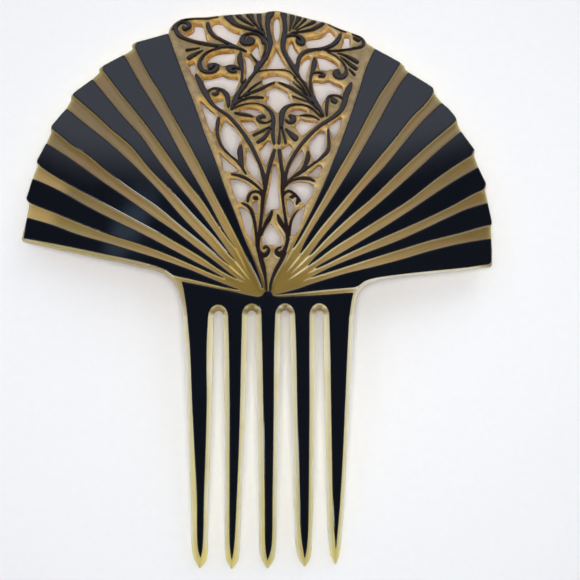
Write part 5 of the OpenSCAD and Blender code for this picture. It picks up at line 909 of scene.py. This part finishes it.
CELL = 0.14
ink = bands(strokes)
field_lo, field_hi = ink[:, :2].min(0) - 2, ink[:, :2].max(0) + 2
field = field_of(ink, field_lo, field_hi, CELL)
field = np.maximum(field, -field_of(bands(cuts), field_lo, field_hi, CELL))
field = keep_out(field, field_lo, CELL, [heading_u[:, :2]] + [l[:, :2] for l in pleats_u.values()], 0.05)
field = keep_out(field, field_lo, CELL, AMBER.loops, 0.1, invert=True)
field = keep_out(field, field_lo, CELL, [to_plan(comb_px[:, :2], np.zeros(len(comb_px)))], 0.0, invert=True)
scroll_loops = []
for l in contour(field, field_lo[0], field_lo[1], CELL):
    l = clean(soften(even(soften(l, 2), 0.26)), 0.12)
    if len(l) > 6 and abs(area(l)) > 0.25:
        scroll_loops.append(l)

HEADING = Lines([heading_u])
PLEATS = {k: Lines([l]) for k, l in pleats_u.items()}
SCROLLS = Lines(scroll_loops)
BLACK = Lines([heading_u] + list(pleats_u.values()) + scroll_loops)
print("loops", len(comb_u), sum(map(len, holes_u)), len(heading_u), sum(map(len, pleats_u.values())), len(scroll_loops), len(SCROLLS.p))

APEX_U = to_plan(arr([[268.0, 291.0]]), [0.0])[0]

# ---- ridges that run on from the points of the pleats: x and y of both ends, height
ridges = [[236, 249.5, 249.5, 276.5, 0.6], [235.5, 262, 251.2, 282, 1], [229.5, 266.3, 246.7, 281.3, 1],
          [237, 279.3, 245, 283, 0.4], [292.3, 250.5, 283, 267.5, 0.4], [299.5, 256.6, 286.3, 273, 0.8],
          [308.3, 257, 290.5, 274.5, 1], [307.3, 267, 287, 281.3, 1], [315, 270, 307, 274, 0.6],
          [310, 278.6, 303, 281.3, 0.4]]
RIDGES = [(*to_plan(arr([r[:2], r[2:4]]), [AMBER_TOP, AMBER_TOP]).reshape(4), r[4]) for r in ridges]


def ridge_at(u):
    """Height of the nearest ridge, 0 to 1, and its slope across. Each thins out to its lower end."""
    best, slope = np.zeros(len(u)), np.zeros((len(u), 2))
    for ax, ay, bx, by, tall in RIDGES:
        d, q = np.array([bx - ax, by - ay]), u - [ax, ay]
        k = np.clip(q @ d / (d @ d), 0, 1)
        off = q - k[:, None] * d
        r = np.linalg.norm(off, axis=1)
        thin = 0.27 * (1 - 0.5 * k)
        e = tall * np.exp(-(r / thin) ** 2) * np.clip((1 - k) * 1.9, 0, 1)
        new = e > best
        best[new] = e[new]
        slope[new] = ((-2 / thin ** 2 * e)[:, None] * off)[new]
    return best, slope


def black_depth(lines, r=0.3, tilt=0.7):
    """Flat on top, with a narrow polished facet along the edges."""
    def f(u):
        d, away, _ = lines.near(u)
        h = tilt * np.maximum(r - d, 0)
        slope = -(tilt * np.clip((r + 0.02 - d) / 0.06, 0, 1))[:, None] * away
        return h, slope, {"wall": np.zeros(len(u)), "edge": np.exp(-d / 0.5)}
    return f


def amber_depth(u):
    d, away, j = AMBER.near(u)
    w, drop, pale = AMBER.kinds[j].T
    k = np.clip(1 - d / w, 0, 1)
    db, away_b, _ = BLACK.near(u)
    under = BLACK.inside(u)
    db = np.where(under, 0, db)
    sunk, soft = 0.34, 0.5
    e = np.exp(-db / soft)
    h = AMBER_TOP + sunk * (1 - e) + drop * k * k - sunk * (1 - e) * k * k * 0.6
    slope = (sunk / soft * e)[:, None] * away_b * (~under)[:, None] - (2 * drop / w * k)[:, None] * away
    rise, rise_slope = ridge_at(u)
    h = h - 0.26 * rise
    slope = slope - 0.26 * rise_slope
    rel = u - APEX_U
    away_hole = (away[:, 0] + away[:, 1]) * 0.7
    hole = (w == HOLE_W) * np.exp(-d / 0.7)
    # painted light: a golden glow on the amber just above each hole, as if lit through
    golden = (w == HOLE_W) * np.clip(away[:, 1] * 1.3 + 0.15, 0, 1) * np.exp(-(d / 1.3) ** 2)
    down = np.clip(-rel[:, 1] / 8.5, 0, 1)
    arched = (w > 1.9) * np.clip((away[:, 1] - 0.15) / 0.4, 0, 1) * (np.linalg.norm(rel, axis=1) < 30)
    # painted highlight: glints on the arches' bevels between the tines
    arch_lit = arched * np.exp(-((np.abs(away[:, 0]) - 0.5) / 0.24) ** 2) * np.exp(-((d - 1.75) / 0.4) ** 2)
    pale = np.where((w > 1.2) & (w < 1.9), np.maximum(pale, down), pale) * (1 - 0.9 * arched)
    fade = np.where(w > 1.9, 1.3 + 1.5 * down, np.where(w > 1.2, 1.3, 0.5))
    # painted highlight on the hole edges that face down and to the left
    lit_hole = (w == HOLE_W) * np.clip(away_hole * 1.6 - 0.3, 0, 1) * np.exp(-d / 0.35)
    # painted highlight: pale lines on the amber under the black's lower edges, fading away from the point; the ridges
    # are painted pale too
    base = np.interp(np.linalg.norm(rel, axis=1) / 85, [0.08, 0.2, 0.34, 0.5, 0.7], [0.5, 1, 0.9, 0.45, 0.3])
    lit = np.clip(-away_b[:, 1] * 1.8 - 0.2, 0, 1) * np.exp(-((db - 0.3) / 0.2) ** 2) * (~under) * base
    lit = np.maximum.reduce([lit, rise, lit_hole, arch_lit])
    # near_black sets a painted shade beside the black in the material; lit carries the painted highlights
    return h, slope, {"wall": np.zeros(len(u)), "pale": pale * np.exp(-d / fade),
                      "near_black": np.exp(-db / 0.5), "near_hole": hole, "lit": lit, "golden": golden,
                      "far": np.linalg.norm(rel, axis=1) / 85, "turn": np.arctan2(rel[:, 0], np.maximum(rel[:, 1], -5))}



# =====================================================================================
# Materials
# =====================================================================================
class Nodes:
    """Short hand for building a node material."""

    def __init__(self, name):
        self.mat = bpy.data.materials.new(name)
        self.mat.use_nodes = True
        self.t = self.mat.node_tree
        self.t.nodes.clear()
        self.x = 0

    def add(self, kind, **props):
        n = self.t.nodes.new(kind)
        self.x += 40
        n.location = (self.x, 0)
        for k, v in props.items():
            setattr(n, k, v)
        return n

    def link(self, a, b):
        self.t.links.new(a, b)

    def put(self, socket, value):
        if isinstance(value, bpy.types.NodeSocket):
            self.link(value, socket)
        else:
            socket.default_value = value

    def attr(self, name):
        return self.add("ShaderNodeAttribute", attribute_name=name).outputs["Fac"]

    def math(self, op, a, b=0.0, c=0.0, clamp=False):
        n = self.add("ShaderNodeMath", operation=op, use_clamp=clamp)
        for s, v in zip(n.inputs, (a, b, c)):
            self.put(s, v)
        return n.outputs[0]

    def span(self, v, a, b, c=0.0, d=1.0, smooth=True):
        n = self.add("ShaderNodeMapRange", interpolation_type="SMOOTHSTEP" if smooth else "LINEAR")
        for s, x in zip(n.inputs, (v, a, b, c, d)):
            self.put(s, x)
        return n.outputs[0]

    def mix(self, f, a, b, blend="MIX"):
        n = self.add("ShaderNodeMix", data_type="RGBA", blend_type=blend)
        self.put(n.inputs[0], f)
        self.put(n.inputs[6], a if isinstance(a, bpy.types.NodeSocket) else (*a, 1))
        self.put(n.inputs[7], b if isinstance(b, bpy.types.NodeSocket) else (*b, 1))
        return n.outputs[2]

    def noise(self, vec, scale, detail=3.0, rough=0.5, dims="3D"):
        n = self.add("ShaderNodeTexNoise", noise_dimensions=dims)
        self.put(n.inputs["Vector"], vec)
        n.inputs["Scale"].default_value = scale
        n.inputs["Detail"].default_value = detail
        n.inputs["Roughness"].default_value = rough
        return n.outputs["Fac"]

    def ramp(self, f, stops):
        n = self.add("ShaderNodeValToRGB")
        self.put(n.inputs[0], f)
        el = n.color_ramp.elements
        while len(el) < len(stops):
            el.new(0.5)
        for e, (p, c) in zip(el, stops):
            e.position = p
            e.color = (*c, 1)
        return n.outputs[0]

    def vector(self, x, y, z=0.0):
        n = self.add("ShaderNodeCombineXYZ")
        for s, v in zip(n.inputs, (x, y, z)):
            self.put(s, v)
        return n.outputs[0]

    def bump(self, h, strength, distance):
        n = self.add("ShaderNodeBump")
        n.inputs["Strength"].default_value = strength
        n.inputs["Distance"].default_value = distance
        self.link(h, n.inputs["Height"])
        return n.outputs[0]

    def finish(self, colour, rough, normal=None, **constants):
        p = self.add("ShaderNodeBsdfPrincipled")
        o = self.add("ShaderNodeOutputMaterial")
        self.put(p.inputs["Base Color"], colour)
        self.put(p.inputs["Roughness"], rough)
        if normal is not None:
            self.link(normal, p.inputs["Normal"])
        for k, v in constants.items():
            p.inputs[k.replace("_", " ")].default_value = v
        self.link(p.outputs[0], o.inputs[0])
        return self.mat


def srgb(r, g, b):
    return tuple((c / 255 / 12.92) if c <= 10.3 else ((c / 255 + 0.055) / 1.055) ** 2.4 for c in (r, g, b))


def black_material(name, shine, low, high):
    """Polished black plate with faint clouds and rubbed patches."""
    m = Nodes(name)
    place = m.add("ShaderNodeTexCoord").outputs["Object"]
    cloud = m.noise(place, 45, 2.0)
    fine = m.noise(place, 900, 2.0)
    wear = m.noise(place, 160, 4.0, 0.65)
    colour = m.mix(m.span(cloud, 0.35, 0.65), low, high)
    colour = m.mix(m.math("MULTIPLY", m.attr("wall"), 0.8), colour, (0.008, 0.006, 0.004))
    rough = m.span(wear, 0.3, 0.75, 0.06, 0.13)
    slow = m.noise(place, 24, 1.0)
    h = m.math("ADD", m.math("MULTIPLY", slow, 1.0), m.math("MULTIPLY", fine, 0.012))
    return m.finish(colour, rough, m.bump(h, 0.25, 0.0006), IOR=1.5, Specular_IOR_Level=shine)


def amber_material():
    m = Nodes("amber_celluloid")
    place = m.add("ShaderNodeTexCoord").outputs["Object"]
    wall, pale_at, near, hole, lit_at, golden, far, turn = (
        m.attr(k) for k in ("wall", "pale", "near_black", "near_hole", "lit", "golden", "far", "turn"))
    streak = m.noise(m.vector(m.math("MULTIPLY", turn, 60.0), m.math("MULTIPLY", far, 3.0)), 1.0, 4.0, 0.6)
    fine = m.noise(m.vector(m.math("MULTIPLY", turn, 240.0), m.math("MULTIPLY", far, 9.0), 3.0), 1.0, 3.0, 0.6)
    cloud = m.noise(place, 60, 3.0)
    grain = m.math("ADD", m.math("MULTIPLY", streak, 0.65), m.math("MULTIPLY", fine, 0.35))
    ground = m.ramp(grain, [(0.3, srgb(150, 122, 68)), (0.5, srgb(166, 138, 82)), (0.7, srgb(184, 156, 100))])
    warm = m.noise(place, 110, 2.0)
    glow = m.noise(place, 420, 3.0, 0.6)
    ground = m.mix(m.span(warm, 0.45, 0.7, 0.0, 0.4), ground, srgb(176, 130, 66))
    ground = m.mix(m.span(far, 0.05, 0.42, 0.85, 0.0), ground, srgb(148, 118, 36))
    light = m.ramp(far, [(0.12, (0.62,) * 3), (0.27, (1.0,) * 3), (0.46, (0.84,) * 3), (0.66, (0.64,) * 3), (0.83, (0.52,) * 3), (0.95, (0.5,) * 3)])
    ground = m.mix(1.0, ground, light, "MULTIPLY")
    panel = m.math("MULTIPLY", m.span(turn, -0.42, -0.39), m.span(turn, 0.43, 0.46, 1.0, 0.0))
    flat = m.mix(m.span(glow, 0.3, 0.7), srgb(148, 125, 80), srgb(182, 160, 110))
    flat = m.mix(m.span(far, 0.45, 0.75, 0.0, 0.75), flat, m.mix(m.span(glow, 0.3, 0.7), srgb(122, 99, 60), srgb(156, 132, 90)))
    ground = m.mix(m.math("MULTIPLY", panel, 0.8), ground, flat)
    yellow = m.math("MULTIPLY", m.span(turn, -1.5, -1.05, 0.8, 0.0), m.span(far, 0.5, 0.8))
    ground = m.mix(yellow, ground, srgb(162, 146, 86))
    ends = m.math("MULTIPLY", m.span(turn, -1.2, -0.95, 0.7, 0.0), m.span(far, 0.85, 0.93))
    ground = m.mix(ends, ground, srgb(192, 160, 98))
    # painted shade: the amber darkened to brown next to the black
    ground = m.mix(m.math("MULTIPLY", near, 0.3), ground, srgb(62, 46, 26))
    rimmed = m.mix(m.span(glow, 0.35, 0.65), srgb(128, 84, 38), srgb(206, 154, 70))
    ground = m.mix(m.math("MULTIPLY", hole, 0.6), ground, rimmed)
    # painted light: honey glow on the amber above the holes
    honey = m.mix(m.span(glow, 0.35, 0.6), srgb(168, 112, 44), srgb(224, 174, 78))
    ground = m.mix(m.math("MULTIPLY", golden, m.span(far, 0.35, 0.75, 0.35, 0.85)), ground, honey)
    # painted highlights: cream to white where the lit number marks glints, ridges and pale edge lines
    bright = m.mix(m.span(turn, -0.1, 0.3), srgb(226, 206, 132), srgb(250, 238, 190))
    bright = m.mix(m.span(pale_at, 0.1, 0.15), bright, srgb(255, 252, 240))
    ground = m.mix(m.math("MULTIPLY", lit_at, 0.85), ground, bright)
    pale = m.mix(m.span(cloud, 0.3, 0.7), srgb(244, 234, 184), srgb(253, 249, 222))
    inner = m.math("MULTIPLY", m.span(far, 0.3, 0.9), m.span(pale_at, 0.62, 0.82, 1.0, 0.0))
    pale = m.mix(m.math("MULTIPLY", inner, 0.9), pale, srgb(252, 236, 138))
    pale = m.mix(m.span(far, 1.02, 1.1, 0.0, 0.85), pale, srgb(255, 236, 120))
    colour = m.mix(pale_at, ground, pale)
    # painted highlight: near white where a lit mark falls on the pale bevel
    colour = m.mix(m.math("MULTIPLY", lit_at, pale_at), colour, srgb(255, 250, 232))
    gold = m.mix(m.span(glow, 0.3, 0.7), srgb(196, 136, 50), srgb(255, 208, 98))
    gold = m.mix(m.span(wall, 0.55, 1.0, 0.0, 0.7), gold, srgb(164, 102, 36))
    lit = m.mix(m.span(pale_at, 0.2, 0.6), gold, pale)
    colour = m.mix(m.span(wall, 0.02, 0.3), colour, lit)
    rough = m.math("ADD", m.span(cloud, 0.3, 0.7, 0.1, 0.2), m.math("MULTIPLY", near, 0.22))
    h = m.math("ADD", m.math("MULTIPLY", grain, 1.0), m.math("MULTIPLY", cloud, 0.5))
    return m.finish(colour, rough, m.bump(h, 0.35, 0.00012), IOR=1.5)


def floor_material():
    m = Nodes("white_table")
    place = m.add("ShaderNodeTexCoord").outputs["Object"]
    grain = m.noise(place, 400, 3.0)
    colour = m.mix(grain, (0.895, 0.885, 0.87), (0.935, 0.925, 0.91))
    return m.finish(colour, m.span(grain, 0.0, 1.0, 0.75, 0.9), m.bump(grain, 0.1, 0.0001))


# the facing black is bluish partly in its own colour and partly as a painted reflection of the bluish window over it
FACING_MAT = black_material("black_celluloid", 0.5, (0.0022, 0.0034, 0.0062), (0.0034, 0.0042, 0.0072))
CARVED_MAT = black_material("black_carved", 0.4, (0.0115, 0.0065, 0.0055), (0.017, 0.0095, 0.0078))
AMBER_MAT = amber_material()

# =====================================================================================
# Build
# =====================================================================================
def fan_points():
    """Points inside the amber, close together where it is seen and wide apart under the black."""
    lo, hi = AMBER.p.min(0), AMBER.p.max(0)
    fine = grid(lo, hi, 0.45)
    fine = fine[AMBER.inside(fine)]
    d = BLACK.near(fine)[0]
    under = BLACK.inside(fine)
    keep = ~under & (d > 0.12)
    coarse = grid(lo, hi, 2.2)
    coarse = coarse[BLACK.inside(coarse)]
    coarse = coarse[BLACK.near(coarse)[0] > 0.8]
    # two lines of points along the black edges, where the grooves turn down
    left = np.vstack([side_of(l) for l in BLACK.loops])
    seams = []
    for r in (0.06, -0.16, -0.34, -0.56):
        c = BLACK.p + left * r
        dd = BLACK.near(c)[0]
        seams.append(c[(dd > 0.9 * abs(r)) & (AMBER.near(c)[0] > 0.3)])
    # and three along every ridge
    crests = []
    for ax, ay, bx, by, _ in RIDGES:
        a, b = np.array([ax, ay]), np.array([bx, by])
        n = np.array([a[1] - b[1], b[0] - a[0]]) / np.linalg.norm(b - a)
        k = np.linspace(0, 1, int(np.linalg.norm(b - a) / 0.3))[:, None]
        crests += [a + k * (b - a) + n * r * (1 - 0.5 * k) for r in (-0.24, 0, 0.24)]
    crests = np.vstack(crests)
    crests = crests[BLACK.near(crests)[0] > 0.15]
    crests = crests[~BLACK.inside(crests)]
    plain = fine[keep]
    plain = plain[ridge_at(plain)[0] < 0.25]
    return np.vstack([plain, coarse, crests] + seams)


amber = plate("amber_body_carved", AMBER, amber_depth, low_depth, (0.14, 0.34, 0.6, 0.95, 1.4), fan_points(),
              AMBER_MAT, "amber", low_pitch=6.0)
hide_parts("amber_body")
pieces = [amber]


def black_piece(name, node, lines, pitch=2.0, material=FACING_MAT):
    lo, hi = lines.p.min(0), lines.p.max(0)
    ob = plate(name, lines, black_depth(lines), lambda u: np.full(len(u), BLACK_LOW), (0.26, 0.33),
               grid(lo, hi, pitch), material, "black", low_pitch=pitch * 2)
    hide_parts(node)
    pieces.append(ob)


black_piece("black_heading_carved", "black_heading", HEADING)
for k, lines in PLEATS.items():
    black_piece(k + "_carved", k, lines)
black_piece("scrollwork_carved", "scrollwork", SCROLLS, 1.2, CARVED_MAT)
for ob in pieces:
    print(ob.name, len(ob.data.polygons), len(ob.data.vertices))

# =====================================================================================
# Table, light and camera
# =====================================================================================
me = bpy.data.meshes.new("table")
me.from_pydata([(-3, -3, 0), (3, -3, 0), (3, 3, 0), (-3, 3, 0)], [], [(0, 1, 2, 3)])
floor = bpy.data.objects.new("table", me)
bpy.context.scene.collection.objects.link(floor)
me.materials.append(floor_material())


def sky():
    """A dim ceiling over the comb, a large soft window beyond its top and light all round."""
    w = bpy.data.worlds.new("studio")
    bpy.context.scene.world = w
    w.use_nodes = True
    t = w.node_tree
    t.nodes.clear()
    new, link = t.nodes.new, t.links.new
    co = new("ShaderNodeTexCoord")
    sep = new("ShaderNodeSeparateXYZ")
    link(co.outputs["Generated"], sep.inputs[0])

    def mth(op, a, b=0.0, clamp=False):
        n = new("ShaderNodeMath")
        n.operation, n.use_clamp = op, clamp
        for s, v in zip(n.inputs, (a, b)):
            if isinstance(v, bpy.types.NodeSocket):
                link(v, s)
            else:
                s.default_value = v
        return n.outputs[0]

    def step(v, a, b):
        n = new("ShaderNodeMapRange")
        n.interpolation_type = "SMOOTHSTEP"
        for s, x in zip(n.inputs, (v, a, b, 0.0, 1.0)):
            if isinstance(x, bpy.types.NodeSocket):
                link(x, s)
            else:
                s.default_value = x
        return n.outputs[0]

    z = mth("MAXIMUM", sep.outputs[2], 0.02)
    xz, yz = mth("DIVIDE", sep.outputs[0], z), mth("DIVIDE", sep.outputs[1], z)
    aside = mth("ADD", xz, 0.12)
    window = step(mth("SUBTRACT", yz, mth("MULTIPLY", mth("MULTIPLY", aside, aside), 0.3)), 0.27, 0.5)
    window = mth("MULTIPLY", window, step(yz, 1.75, 1.35))
    ring = step(z, 0.5, 0.35)
    # a narrow bluish pane on the left, lying along the length of the pleats
    px, py = mth("ADD", xz, 0.46), mth("ADD", yz, -0.2)
    da = mth("DIVIDE", mth("SUBTRACT", mth("MULTIPLY", py, 0.5), mth("MULTIPLY", px, 0.87)), 0.06)
    db = mth("DIVIDE", mth("ADD", mth("MULTIPLY", px, 0.5), mth("MULTIPLY", py, 0.87)), 0.16)
    pane = step(mth("SQRT", mth("ADD", mth("MULTIPLY", da, da), mth("MULTIPLY", db, db))), 1.3, 0.3)
    amount = mth("ADD", mth("ADD", DIM, mth("MULTIPLY", window, WINDOW)), mth("MULTIPLY", ring, RING))
    tint = new("ShaderNodeCombineXYZ")
    for s, a, b in zip(tint.inputs, (0.9, 0.97, 1.14), (0.8, 1.15, 1.6)):
        link(mth("ADD", mth("MULTIPLY", amount, a), mth("MULTIPLY", pane, b * GLOW)), s)
    bg = new("ShaderNodeBackground")
    link(tint.outputs[0], bg.inputs[0])
    out = new("ShaderNodeOutputWorld")
    link(bg.outputs[0], out.inputs[0])


DIM, WINDOW, RING, GLOW = 0.07, 1.08, 0.35, 0.65
sky()


def lamp(name, place, size, watts, tint=(1, 1, 1), mirror=True, long=None):
    """A soft lamp that points at the middle of the comb; long: its other side, level."""
    d = bpy.data.lights.new(name, "AREA")
    d.shape, d.size, d.energy, d.color = "DISK" if long is None else "RECTANGLE", size if long is None else long, watts, tint
    if long is not None:
        d.size_y = size
    ob = bpy.data.objects.new(name, d)
    bpy.context.scene.collection.objects.link(ob)
    ob.matrix_world = Matrix.Translation(Vector(place)) @ Vector(place).to_track_quat("Z", "Y").to_matrix().to_4x4()
    ob.visible_glossy = mirror
    ob.visible_diffuse = not mirror
    return ob


lamp("soft_top", (0.011, 0.0, 0.46), 0.14, 1.28, mirror=False)
lamp("soft_left", (-0.25, 0.0, 0.38), 0.14, 0.14, mirror=False)
lamp("soft_right", (0.27, 0.0, 0.38), 0.14, 0.14, mirror=False)
lamp("soft_far", (0.42, 0.82, 0.5), 0.7, 1.8, mirror=False)
lamp("spark", (-0.76, -0.49, 0.3), 0.1, 1.1, long=0.34)

cam_data = bpy.data.cameras.new("camera")
cam = bpy.data.objects.new("camera", cam_data)
bpy.context.scene.collection.objects.link(cam)
bpy.context.scene.camera = cam
cam_data.sensor_width = 36
cam_data.lens = 1.0015 * 36 * EYE / (580 * SQ)
cam_data.clip_start = 0.01
cam.matrix_world = Matrix.Translation(Vector(CAM) / 1000) @ Matrix.Rotation(LEAN, 4, "Z")

scene = bpy.context.scene
scene.view_settings.view_transform = "Standard"
scene.view_settings.look = "None"
scene.view_settings.exposure = 0.0
scene.view_settings.gamma = 1.0

bpy.context.view_layer.update()
